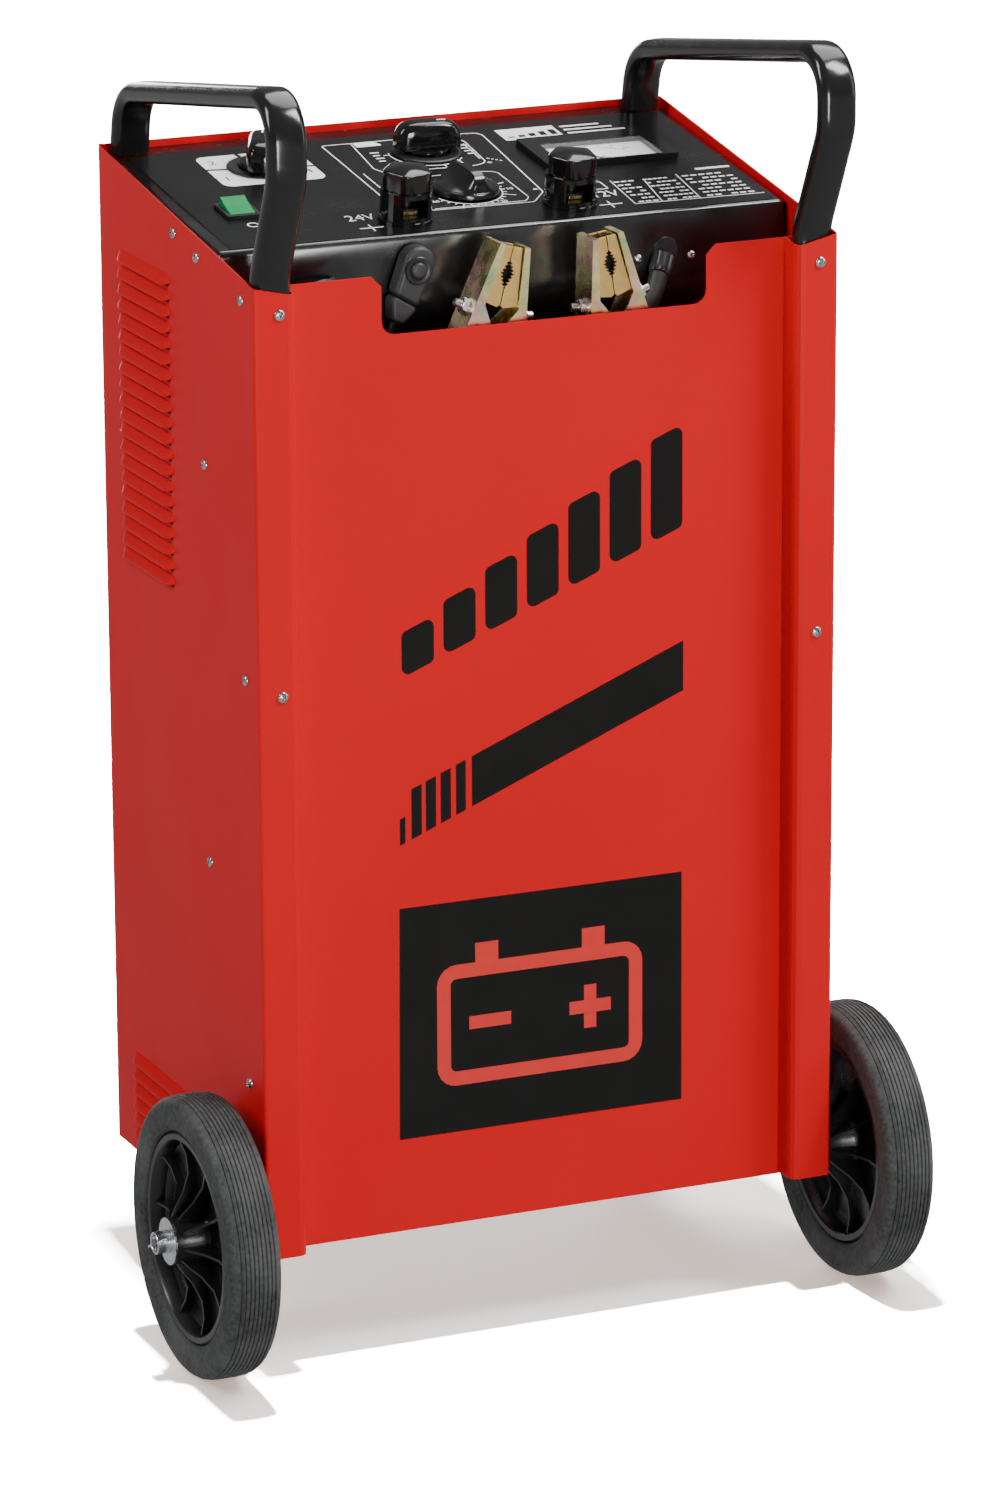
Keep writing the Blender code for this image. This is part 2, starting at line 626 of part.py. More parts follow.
# ---- controls -----------------------------------------------------------------------------
def rocker_switch(console):
    spot = (*ROCKER, 0)
    base = LABEL_SKIN
    bezel = piece("rocker_bezel", rounded_box_mesh((-0.0155, -0.0180, base),
                                                   (0.0155, 0.0180, base + 0.0030), 0.002),
                  "satin_plastic", console, spot)
    tool("bezel_body", box_mesh((-0.0132, -0.0157, -0.024), (0.0132, 0.0157, 0.002)), bezel,
         "UNION")
    tool("bezel_pocket", box_mesh((-0.0117, -0.0147, -0.012), (0.0117, 0.0147, 0.01)), bezel)
    profile = [(-0.0131, 0.0035), (-0.0126, -0.0040), (0.0126, -0.0040), (0.0131, 0.0105),
               (0.0, 0.0060)]
    rocker = prism_mesh([(y, z + 0.001) for y, z in profile], "X", -0.0112, 0.0112)
    piece("rocker", rocker, "green_plastic", console, (ROCKER[0], ROCKER[1], -0.001))


def bar_grip_mesh(length, width, low, high, rise):
    """A bar with round ends whose long top edges are arched."""
    end = width * 0.45
    corners = [(-length / 2, low), (length / 2, low), (length / 2, high), (-length / 2, high)]
    outline = rounded(corners, [0, 0, rise, rise], 5)
    bm = prism_mesh(outline, "Y", -width / 2, width / 2)
    edges = []
    for edge in bm.edges:
        a, b = edge.verts
        along_face = abs(a.co.y - b.co.y) < 1e-6
        if along_face and max(a.co.z, b.co.z) > low + 1e-5:
            edges.append(edge)
    bmesh.ops.bevel(bm, geom=edges, offset=end * 0.35, offset_type="OFFSET", segments=2,
                    profile=0.5, affect="EDGES")
    return bm


def selector(console, name, spot, flange_r, pointing_deg):
    """Rotary cam switch: body under the console, round flange, and a bar knob on top."""
    low = LABEL_SKIN
    flange = [(0, low), (flange_r, low), (flange_r, low + 0.0012), (flange_r - 0.0015, low + 0.0020),
              (0, low + 0.0020)]
    switch = piece(f"{name}_switch", turned_mesh(flange, 32), "gloss_plastic", console, (*spot, 0))
    neck = [(0, -0.008), (0.0105, -0.008), (0.0105, 0.0015), (0, 0.0015)]
    tool(f"{name}_neck", turned_mesh(neck, 20), switch, "UNION")
    tool(f"{name}_body", box_mesh((-0.024, -0.024, -0.056), (0.024, 0.024, -0.004)), switch,
         "UNION")
    turn = (0, 0, math.radians(pointing_deg))
    start = low + 0.0020 + GAP
    skirt = [(0, start), (0.0195, start), (0.0195, start + 0.0075), (0.0175, start + 0.010),
             (0, start + 0.010)]
    knob = piece(f"{name}_knob", turned_mesh(skirt, 28), "gloss_plastic", console, (*spot, 0), turn)
    tool(f"{name}_grip", bar_grip_mesh(0.060, 0.0260, start + 0.0035, 0.0305, 0.012), knob, "UNION")


def timer(console):
    low = LABEL_SKIN
    plate = [(0, low), (0.0120, low), (0.0120, low + 0.0015), (0, low + 0.0015)]
    body = piece("timer_body", turned_mesh(plate, 20), "satin_plastic", console, (*TIMER, 0))
    neck = [(0, -0.008), (0.0075, -0.008), (0.0075, 0.0012), (0, 0.0012)]
    tool("timer_neck", turned_mesh(neck, 20), body, "UNION")
    tool("timer_box", box_mesh((-0.025, -0.022, -0.045), (0.025, 0.022, -0.004)), body, "UNION")
    start = low + 0.0015 + GAP
    skirt = [(0, start), (0.0290, start), (0.0290, start + 0.0050), (0.0240, start + 0.0085),
             (0.0150, start + 0.0110), (0, start + 0.0115)]
    knob = piece("timer_knob", turned_mesh(skirt, 36), "satin_plastic", console, (*TIMER, 0),
                 (0, 0, math.radians(96)))
    tool("timer_fin", bar_grip_mesh(0.054, 0.0125, start + 0.004, 0.0245, 0.011), knob, "UNION")


def lobed_mesh(radius, depth, lobes, low, high):
    """A screw knob with lobes: hollow waist, domed top and a bore for the stud from below."""
    bm = bmesh.new()
    count = lobes * 6
    levels = [(low, 0.94), (low + 0.0015, 1.0), (high - 0.0085, 1.0), (high - 0.0048, 0.93),
              (high - 0.0020, 0.76), (high - 0.0005, 0.45)]
    rings = []
    for z, scale in levels:
        ring = []
        for i in range(count):
            angle = 2 * math.pi * i / count
            r = (radius - depth / 2 + depth / 2 * math.cos(lobes * angle)) * scale
            ring.append(bm.verts.new((r * math.cos(angle), r * math.sin(angle), z)))
        rings.append(ring)
    for ring, following in zip(rings, rings[1:]):
        for i in range(count):
            j = (i + 1) % count
            bm.faces.new((ring[i], ring[j], following[j], following[i]))
    top = bm.verts.new((0, 0, high))
    for i in range(count):
        bm.faces.new((rings[-1][i], rings[-1][(i + 1) % count], top))
    bm.faces.new(list(reversed(rings[0])))
    bmesh.ops.recalc_face_normals(bm, faces=bm.faces)
    return bm


NUT_TOP = 0.0130
BOSS_BOTTOM = 0.0235
KNOB_BOTTOM = 0.0285
KNOB_TOP = 0.0485
BASE_R = 0.0226


def hexagon(radius):
    return arc((0, 0), radius, 0, 300, 5)


def terminal(console, volts):
    """Insulated screw terminal: slotted base, brass nut on a stud, and a lobed screw knob."""
    spot = (*TERMINALS[volts], 0)
    low = LABEL_SKIN
    shell = [(0, low), (0.0240, low), (0.0240, low + 0.0025), (BASE_R, low + 0.0030),
             (BASE_R, KNOB_BOTTOM - GAP), (0.0185, KNOB_BOTTOM - GAP), (0.0185, 0.0070),
             (0, 0.0070)]
    base = piece(f"terminal_base_{volts}", turned_mesh(shell, 28), "gloss_plastic", console, spot)
    stub = [(0, -0.016), (0.0110, -0.016), (0.0110, 0.0040), (0, 0.0040)]
    tool(f"terminal_stub_{volts}", turned_mesh(stub, 20), base, "UNION")
    tool(f"terminal_mouth_{volts}", box_mesh((-0.0125, -0.03, 0.0070), (0.0125, 0.0, 0.0240)), base)
    nut = prism_mesh(hexagon(0.0125), "Z", 0.0070 + GAP, NUT_TOP)
    stud = piece(f"terminal_stud_{volts}", nut, "brass", console, spot)
    shank = [(0, NUT_TOP - 0.002), (0.0048, NUT_TOP - 0.002), (0.0048, 0.0380), (0, 0.0380)]
    tool(f"terminal_shank_{volts}", turned_mesh(shank, 14), stud, "UNION")
    knob = piece(f"terminal_knob_{volts}", lobed_mesh(0.0220, 0.0026, 5, KNOB_BOTTOM, KNOB_TOP),
                 "gloss_plastic", console, spot)
    boss = [(0, BOSS_BOTTOM), (0.0115, BOSS_BOTTOM), (0.0115, 0.0300), (0, 0.0300)]
    tool(f"knob_boss_{volts}", turned_mesh(boss, 20), knob, "UNION")
    bore = [(0, 0.0200), (0.0054, 0.0200), (0.0054, 0.0395), (0, 0.0395)]
    tool(f"knob_bore_{volts}", turned_mesh(bore, 14), knob)


def ammeter(console):
    """Panel meter: bezel and body, scale floor in a recess, needle and clear lens."""
    low, top = LABEL_SKIN, 0.0060
    half_x, half_y = AMMETER_SIZE[0] / 2, AMMETER_SIZE[1] / 2
    window_x, window_y = 0.0495, 0.0245
    middle = -0.0080
    spot = (*AMMETER, 0)
    case = piece("ammeter_case", rounded_box_mesh((-half_x, -half_y, low), (half_x, half_y, top),
                                                  0.002), "satin_plastic", console, spot)
    tool("meter_body", box_mesh((-0.049, -0.025, -0.040), (0.049, 0.025, 0.002)), case, "UNION")
    tool("meter_recess", box_mesh((-window_x, middle - window_y, 0.0005),
                                  (window_x, middle + window_y, 0.01)), case)
    inset = 0.0004
    lens = box_mesh((-window_x + inset, middle - window_y + inset, 0.0042),
                    (window_x - inset, middle + window_y - inset, 0.0054))
    piece("ammeter_lens", lens, "clear_plastic", console, spot)
    pivot = (AMMETER[0], AMMETER[1] + middle - window_y + 0.006, 0)
    needle = prism_mesh([(-0.0012, -0.003), (0.0012, -0.003), (0.0004, 0.036), (-0.0004, 0.036)],
                        "Z", 0.0018, 0.0026)
    hand = piece("ammeter_needle", needle, "satin_plastic", console, pivot,
                 (0, 0, math.radians(45)))
    tool("needle_hub", turned_mesh([(0, 0.0012), (0.003, 0.0012), (0.003, 0.0032), (0, 0.0032)], 12),
         hand, "UNION")


# ---- remote start pendant -----------------------------------------------------------------
PENDANT_LEAN = math.radians(23)
PENDANT_AT = (-0.0905, -0.1060, 0.9533)     # button centre on the pendant's front face
PENDANT_THICK = 0.0205
BUTTON_R = 0.0075


def pendant(casing):
    """Hand-held start switch, leaning on the rear wall of the bin."""
    holder = empty("pendant_frame", PENDANT_AT, (0, PENDANT_LEAN, 0), casing)
    half, waist, tip = 0.0145, -0.034, -0.0487
    cap = arc((0, 0.006), half, 0, 180, 8)
    outline = cap + [(-half, waist), (-0.0055, tip), (0.0055, tip), (half, waist)]
    body = piece("pendant_body", prism_mesh(outline, "Y", 0, PENDANT_THICK), "pendant_plastic",
                 holder)
    rounding = body.modifiers.new("edge_rounding", "BEVEL")
    rounding.width = 0.003
    rounding.segments = 2
    rounding.limit_method = "ANGLE"
    rounding.angle_limit = math.radians(60)
    ring = [(0, -0.0015), (0.0110, -0.0015), (0.0115, 0.003), (0, 0.003)]
    tool("pendant_ring", turned_mesh(ring, 24, "Y"), body, "UNION")
    well = [(0, -0.01), (BUTTON_R + 0.0004, -0.01), (BUTTON_R + 0.0004, 0.010), (0, 0.010)]
    tool("pendant_well", turned_mesh(well, 24, "Y"), body)
    cap_profile = [(0, -0.0040), (0.0050, -0.0040), (BUTTON_R, -0.0025), (BUTTON_R, 0.0055),
                   (0, 0.0055)]
    piece("pendant_button", turned_mesh(cap_profile, 24, "Y"), "gloss_plastic", holder)


# ---- battery clamps -----------------------------------------------------------------------
CLAMPS = {
    "positive": ((-0.0391, CLAMP_Y, 0.8906), math.radians(14.4)),
    "negative": ((0.0823, CLAMP_Y, 0.8898), math.radians(-8.6)),
}
CLAMP_DEPTH = 0.034
CLAMP_STEEL = 0.0025
JAW_TIP, HANDLE_END = 0.088, -0.115


def jaw_outline(steel=0.0):
    """One jaw seen from the front, tip up, its pivot at the origin; steel shrinks the outside."""
    outer = [(-0.0365 + steel, HANDLE_END - (0.01 if steel else 0)), (-0.0310 + steel, 0.0),
             (-0.0150 + steel, JAW_TIP - steel)]
    if steel:
        return outer + [(0.02, JAW_TIP - steel), (0.02, HANDLE_END - 0.01)]
    ear = arc((0, 0), 0.0115, 60, -70, 6)
    inner = [(-0.0098, JAW_TIP), (-0.0165, 0.034), (-0.0040, 0.0135)]
    return outer + inner + ear + [(-0.0170, -0.036), (-0.0240, HANDLE_END)]


def insert_outline():
    """Brass contact between the flanges, with a notch that grips a battery post."""
    seam = -0.0004
    notch = [(seam, 0.050), (-0.0060, 0.0625), (seam, 0.075)]
    return ([(-0.0158, 0.036), (-0.0030, 0.033), (seam, 0.035)] + notch
            + [(seam, 0.0865), (-0.0088, 0.0865)])


def clamp_jaw(name, finish, parent, depth, flip):
    bm = prism_mesh(jaw_outline(), "Y", -depth / 2, depth / 2)
    hollow = prism_mesh(jaw_outline(CLAMP_STEEL), "Y", -depth / 2 + CLAMP_STEEL,
                        depth / 2 - CLAMP_STEEL)
    if flip:
        mirror_x(bm)
        mirror_x(hollow)
    jaw = piece(name, bm, finish, parent)
    tool(name + "_hollow", hollow, jaw)
    drill(jaw, name + "_pivot_hole", (0, 0, 0), 0.0044, "Y", 0.05, 16)


def clamp(casing, name):
    """Sprung battery clamp: two channel jaws on a pivot bolt, each with a brass contact."""
    at, lean = CLAMPS[name]
    holder = empty(f"{name}_clamp_frame", at, (0, lean, 0), casing)
    inner_depth = CLAMP_DEPTH - 2 * CLAMP_STEEL - 2 * GAP
    clamp_jaw(f"{name}_clamp_jaw_fixed", "yellow_zinc", holder, CLAMP_DEPTH, False)
    clamp_jaw(f"{name}_clamp_jaw_moving", "yellow_zinc", holder, inner_depth, True)
    contact_depth = inner_depth / 2 - CLAMP_STEEL - GAP
    for side, label in ((False, "fixed"), (True, "moving")):
        bm = prism_mesh(insert_outline(), "Y", -contact_depth, contact_depth)
        if side:
            mirror_x(bm)
        piece(f"{name}_contact_{label}", bm, "brass", holder)
    head = CLAMP_DEPTH / 2 + GAP
    bolt = [(0, -head - 0.003), (0.0070, -head - 0.003), (0.0070, -head), (0.0040, -head),
            (0.0040, head), (0.0070, head), (0.0070, head + 0.003), (0, head + 0.003)]
    piece(f"{name}_clamp_pivot", turned_mesh(bolt, 16, "Y"), "zinc_steel", holder)


def clamp_point(name, across, along):
    """A point of a clamp, across and along it, in the casing's frame."""
    at, lean = CLAMPS[name]
    turned = Matrix.Rotation(lean, 3, "Y") @ Vector((across, 0, along))
    return tuple(Vector(at) + turned)


# ---- cables in the bin --------------------------------------------------------------------
REAR_Y, MIDDLE_Y, FRONT_Y = -0.0925, -0.1172, -0.1425   # the three layers of cable in the bin
RUN_LOW_Z, RUN_HIGH_Z = 0.6100, 0.7410
LUG_AT = (-0.1200, MIDDLE_Y, RUN_HIGH_Z)


def negative_route():
    """From the grommet down behind the negative clamp, once and a half round, up to the clamp."""
    hole = Vector((CABLE_HOLE[0], FOLD_Y, CABLE_HOLE[1]))
    start = tuple(hole + CABLE_EXIT * (SLEEVE_REACH + 2 * GAP))
    straight = tuple(hole + CABLE_EXIT * (SLEEVE_REACH + 0.0080))
    entry = clamp_point("negative", -0.0303, HANDLE_END - 0.0008)
    below = clamp_point("negative", -0.0303, HANDLE_END - 0.0120)
    return [start, straight, (0.1320, -0.1008, 0.9110), (0.1258, -0.1013, 0.8940),
            (0.1215, -0.1012, 0.8700),
            (0.1260, -0.1010, 0.8350), (0.1450, -0.1060, 0.7950), (0.1700, -0.1140, 0.7600),
            (0.1950, MIDDLE_Y, 0.7200), (0.2050, MIDDLE_Y, 0.6750), (0.1860, MIDDLE_Y, 0.6290),
            (0.1370, MIDDLE_Y, RUN_LOW_Z + 0.001), (0.0600, MIDDLE_Y, RUN_LOW_Z),
            (-0.0300, MIDDLE_Y, RUN_LOW_Z), (-0.0950, MIDDLE_Y, RUN_LOW_Z),
            (-0.1440, -0.1120, 0.6290), (-0.1620, -0.1045, 0.6750), (-0.1440, -0.0965, 0.7210),
            (-0.0950, REAR_Y, RUN_HIGH_Z), (-0.0200, REAR_Y, RUN_HIGH_Z),
            (0.0700, REAR_Y, RUN_HIGH_Z), (0.1480, REAR_Y, RUN_HIGH_Z),
            (0.2000, REAR_Y, 0.7200), (0.2180, REAR_Y, 0.6750), (0.2000, REAR_Y, 0.6290),
            (0.1480, REAR_Y, RUN_LOW_Z), (0.0960, -0.0950, 0.6290), (0.0740, -0.1040, 0.6760),
            (0.0715, -0.1205, 0.7280), below, entry]


def positive_route():
    """From the positive clamp down to the floor, across, back along the top of the pile."""
    entry = clamp_point("positive", -0.0303, HANDLE_END - 0.0008)
    below = clamp_point("positive", -0.0303, HANDLE_END - 0.0120)
    return [entry, below, (-0.1110, -0.1390, 0.7250), (-0.1140, FRONT_Y, 0.6700),
            (-0.0920, FRONT_Y, 0.6260), (-0.0450, FRONT_Y, RUN_LOW_Z),
            (0.0300, FRONT_Y, RUN_LOW_Z), (0.0900, FRONT_Y, RUN_LOW_Z),
            (0.1450, FRONT_Y, RUN_LOW_Z), (0.1920, FRONT_Y, 0.6280), (0.2110, FRONT_Y, 0.6750),
            (0.1920, FRONT_Y, 0.7180), (0.1450, FRONT_Y, 0.7320), (0.0900, FRONT_Y, 0.7300),
            (0.0450, -0.1410, 0.7310), (-0.0100, -0.1280, 0.7370),
            (-0.0650, MIDDLE_Y, RUN_HIGH_Z), LUG_AT]


def pendant_route():
    """From the tip of the pendant down the left end of the bin and back up to the console."""
    hole = (PENDANT_HOLE[0], FOLD_Y - 0.0005, PENDANT_HOLE[1])
    tip = Vector(PENDANT_AT) + Matrix.Rotation(PENDANT_LEAN, 3, "Y") @ Vector(
        (0, PENDANT_THICK / 2, -0.0487 - GAP))
    return [tuple(tip), (-0.1180, -0.0965, 0.8850), (-0.1400, -0.0985, 0.8400),
            (-0.1700, -0.1000, 0.7700), (-0.1880, -0.1020, 0.7000), (-0.1930, -0.1060, 0.6500),
            (-0.2020, -0.1100, 0.6180), (-0.2200, -0.1130, 0.6045), (-0.2390, -0.1160, 0.6180),
            (-0.2480, -0.1180, 0.6500), (-0.2490, -0.1180, 0.7200), (-0.2490, -0.1160, 0.8000),
            (-0.2420, -0.1120, 0.8700), (-0.2250, -0.1080, 0.9150), (-0.2000, -0.1040, 0.9400),
            (-0.1790, -0.0990, 0.9490), (hole[0] - 0.0050, -0.0930, hole[2]), hole]


def cables(casing):
    """The two heavy cables and the pendant's thin one, lying in the bin."""
    cable("negative_cable", negative_route(), CABLE_D, "cable_rubber", casing, 0.036)
    cable("positive_cable", positive_route(), CABLE_D, "cable_rubber", casing, 0.036)
    cable("pendant_cable", pendant_route(), PENDANT_CABLE_D, "cable_rubber", casing, 0.0165)


def positive_lug(casing):
    """Crimped ring lug on the free end of the positive cable, pointing to the left."""
    barrel = [(0, -0.022), (0.0075, -0.022), (0.0085, -0.018), (0.0085, 0), (0, 0)]
    lug = piece("positive_lug", turned_mesh(barrel, 18), "zinc_steel", casing,
                (LUG_AT[0] - GAP, LUG_AT[1], LUG_AT[2]), (0, math.radians(90), 0))
    eye = (0, -0.040)
    outline = [(-0.0085, -0.016), (0.0085, -0.016)] + arc(eye, 0.0110, 30, -210, 12)
    tool("lug_tongue", prism_mesh(outline, "Y", -0.0018, 0.0018), lug, "UNION")
    drill(lug, "lug_eye", (0, 0, -0.040), 0.0053, "Y", 0.02, 16)


# ---- inside the casing --------------------------------------------------------------------
CORE_Y = 0.045
CORE_HALF = (0.1100, 0.0500)
CORE_HEIGHT = 0.250
LIMB = 0.0650


def transformer(casing):
    """Laminated core with one window and a winding round each limb."""
    floor = BOTTOM_Z + 0.002 + GAP
    hx, hy = CORE_HALF
    core = piece("transformer_core", box_mesh((-hx, CORE_Y - hy, floor),
                                              (hx, CORE_Y + hy, floor + CORE_HEIGHT)),
                 "core_steel", casing)
    window = hx - LIMB
    tool("core_window", box_mesh((-window, CORE_Y - 0.1, floor + LIMB),
                                 (window, CORE_Y + 0.1, floor + CORE_HEIGHT - LIMB)), core)
    middle = hx - LIMB / 2
    build = 0.040
    clear = 0.001
    for side, name in ((-1, "winding_primary"), (1, "winding_secondary")):
        x = side * middle
        out_x, out_y = LIMB / 2 + build, hy + 0.034
        low, high = floor + LIMB + 0.002, floor + CORE_HEIGHT - LIMB - 0.002
        coil = piece(name, rounded_box_mesh((x - out_x, CORE_Y - out_y, low),
                                            (x + out_x, CORE_Y + out_y, high), 0.022, 3),
                     "winding", casing)
        tool(name + "_hole", box_mesh((x - LIMB / 2 - clear, CORE_Y - hy - clear, low - 0.01),
                                      (x + LIMB / 2 + clear, CORE_Y + hy + clear, high + 0.01)),
             coil)


def rectifier(casing):
    """Finned heat sink of the rectifier bridge, behind the cable bin."""
    back = FOLD_Y + SHEET + 2 * GAP + 0.002
    plate = back + 0.008
    tip = back + 0.045
    outline = [(-0.090, back), (0.090, back)]
    fins = 9
    for i in range(fins):
        x = 0.090 - i * 0.180 / (fins - 0.8)
        outline += [(x, tip), (x - 0.004, tip)]
        if i < fins - 1:
            outline += [(x - 0.004, plate), (x - 0.180 / (fins - 0.8), plate)]
    outline[-1] = (-0.090, tip)
    bm = prism_mesh(outline, "Z", 0.640, 0.760)
    piece("rectifier_heatsink", bm, "aluminium", casing)


def contactor(casing):
    """Start contactor, standing on the floor pan beside the transformer."""
    floor = BOTTOM_Z + 0.002 + GAP
    body = piece("start_contactor", rounded_box_mesh((-0.240, 0.075, floor),
                                                     (-0.175, 0.150, floor + 0.060), 0.003),
                 "satin_plastic", casing)
    tool("contactor_head", rounded_box_mesh((-0.230, 0.085, floor + 0.050),
                                            (-0.185, 0.140, floor + 0.085), 0.003), body, "UNION")


def main():
    clear_scene()
    casing = empty("casing_frame", (0, CASING_SHIFT, 0))
    console = empty("console_frame", (0, FOLD_Y, FOLD_Z), (math.atan(CONSOLE_SLOPE), 0, 0), casing)
    bpy.context.view_layer.update()
    side_panels(casing)
    back_panel(casing)
    mains_gland(casing)
    front_panel(casing)
    chassis_base(casing)
    console_panel(casing, console)
    cable_bin(casing)
    handles(casing)
    cable_grommet(casing)
    running_gear(casing)
    rear_legs(casing)
    rocker_switch(console)
    selector(console, "charge_selector", CHARGE_SELECTOR, 0.0300, 66)
    selector(console, "boost_selector", BOOST_SELECTOR, 0.0310, -4)
    timer(console)
    for volts in TERMINALS:
        terminal(console, volts)
    ammeter(console)
    pendant(casing)
    for name in CLAMPS:
        clamp(casing, name)
    cables(casing)
    positive_lug(casing)
    transformer(casing)
    rectifier(casing)
    contactor(casing)


main()
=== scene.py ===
"""Visual model of a wheeled car battery charger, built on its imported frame."""

import math

import bmesh
import bpy
from mathutils import Matrix, Vector


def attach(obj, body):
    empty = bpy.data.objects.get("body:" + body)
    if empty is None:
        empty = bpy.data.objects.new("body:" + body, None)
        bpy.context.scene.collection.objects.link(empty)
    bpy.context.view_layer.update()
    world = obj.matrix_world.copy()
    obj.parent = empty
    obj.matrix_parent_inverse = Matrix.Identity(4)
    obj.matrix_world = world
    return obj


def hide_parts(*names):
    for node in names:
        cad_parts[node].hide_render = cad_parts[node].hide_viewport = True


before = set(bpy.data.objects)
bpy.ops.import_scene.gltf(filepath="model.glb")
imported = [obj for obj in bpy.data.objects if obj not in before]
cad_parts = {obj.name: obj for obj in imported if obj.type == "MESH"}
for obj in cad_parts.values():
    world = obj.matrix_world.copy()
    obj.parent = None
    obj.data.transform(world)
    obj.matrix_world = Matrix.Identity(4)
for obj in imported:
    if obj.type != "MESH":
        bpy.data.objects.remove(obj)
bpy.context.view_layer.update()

# ---- dimensions, in metres ----------------------------------------------------------------
SHIFT = 0.02625                      # the casing's centre line behind the origin
HALF_WIDTH, HALF_DEPTH, BACK_Y = 0.2716, 0.18, 0.191
SHEET = 0.0015
GAP = 0.0003
FOLD_Y, FOLD_Z = -0.083, 0.98
CONSOLE_SLOPE = 0.1449
CONSOLE_HALF, CONSOLE_BACK_Y = 0.269, 0.186
FLANGE_Z = 0.895
FRONT_FACE_Y = -0.1529
WHEEL_R, RIM_R, BOSS_HALF = 0.125, 0.094, 0.0339
WHEEL_INNER, WHEEL_OUTER = 0.289, 0.3364
AXLE_R, AXLE_HALF, AXLE_Y = 0.01, 0.361, -0.1405
SPLIT_PIN_X = 0.355
HANDLE_X, HANDLE_WIDTH, HANDLE_THICK = 0.252, 0.035, 0.0195
HANDLE_FRONT_Y, HANDLE_TOE_IN = -0.1675, 1.0
ROCKER = (-0.211, 0.0912)
CHARGE_SELECTOR = (-0.149, 0.1935)
BOOST_SELECTOR = (0.0095, 0.196)
TIMER = (0.002, 0.09)
TERMINALS = {"24": (-0.0771, 0.038), "12": (0.0785, 0.0392)}
AMMETER = (0.159, 0.16)
FILM_TOP, FLANGE_HEIGHT = 0.0006, 0.002
TIMER_PLATE_HEIGHT, TIMER_R, TIMER_BELL_R = 0.0015, 0.029, 0.0268
CABLE_HOLE = (0.1513, 0.9455)
PENDANT_HOLE = (-0.1609, 0.948)
CABLE_EXIT = Vector((-0.45, -0.5, -0.74)).normalized()
SLEEVE_REACH, SLEEVE_R = 0.024, 0.0098
CLAMPS = {
    "positive": ((-0.0391, -0.13, 0.8906), 14.4),
    "negative": ((0.0823, -0.13, 0.8898), -8.6),
}
CLAMP_DEPTH, CLAMP_STEEL = 0.034, 0.0025
JAW_TIP, HANDLE_END = 0.088, -0.115
PENDANT_AT, PENDANT_LEAN = (-0.0905, -0.106, 0.9533), 23
PENDANT_THICK, PENDANT_TIP = 0.0205, -0.0487

CASING = Matrix.Translation((0, SHIFT, 0))
CONSOLE = (CASING @ Matrix.Translation((0, FOLD_Y, FOLD_Z))
           @ Matrix.Rotation(math.atan(CONSOLE_SLOPE), 4, "X"))


# ---- camera, floor and lights -------------------------------------------------------------
def add_camera():
    place = Vector((-2.3423, -5.4009, 2.1963))
    target = Vector((0.10804, 0.20625, 0.42349))
    roll = math.radians(-0.267)
    ahead = (target - place).normalized()
    right = ahead.cross(Vector((0, 0, 1))).normalized()
    up = right.cross(ahead)
    side = right * math.cos(roll) + up * math.sin(roll)
    top = up * math.cos(roll) - right * math.sin(roll)
    lens = bpy.data.cameras.new("camera")
    lens.lens = 164.73
    lens.sensor_width = 36.0
    lens.clip_end = 100.0
    camera = bpy.data.objects.new("camera", lens)
    turn = Matrix((side, top, -ahead)).transposed().to_4x4()
    camera.matrix_world = Matrix.Translation(place) @ turn
    bpy.context.scene.collection.objects.link(camera)
    bpy.context.scene.camera = camera


def add_light(name, place, target, size, power, only=None):
    data = bpy.data.lights.new(name, "AREA")
    data.shape = "RECTANGLE"
    data.size, data.size_y = size
    data.energy = power
    light = bpy.data.objects.new(name, data)
    aim = Vector(target) - Vector(place)
    light.matrix_world = Matrix.Translation(place) @ aim.to_track_quat("-Z", "Y").to_matrix().to_4x4()
    bpy.context.scene.collection.objects.link(light)
    if only:
        light.light_linking.receiver_collection = only
        light.visible_camera = False


# ---- materials ----------------------------------------------------------------------------
def feed(tree, node, **inputs):
    """Links a node's inputs to sockets or sets them to values."""
    for name, value in inputs.items():
        socket = node.inputs[name.replace("_", " ")]
        if isinstance(value, bpy.types.NodeSocket):
            tree.links.new(value, socket)
        else:
            socket.default_value = value


def add_node(tree, kind, **inputs):
    node = tree.nodes.new(kind)
    feed(tree, node, **inputs)
    return node


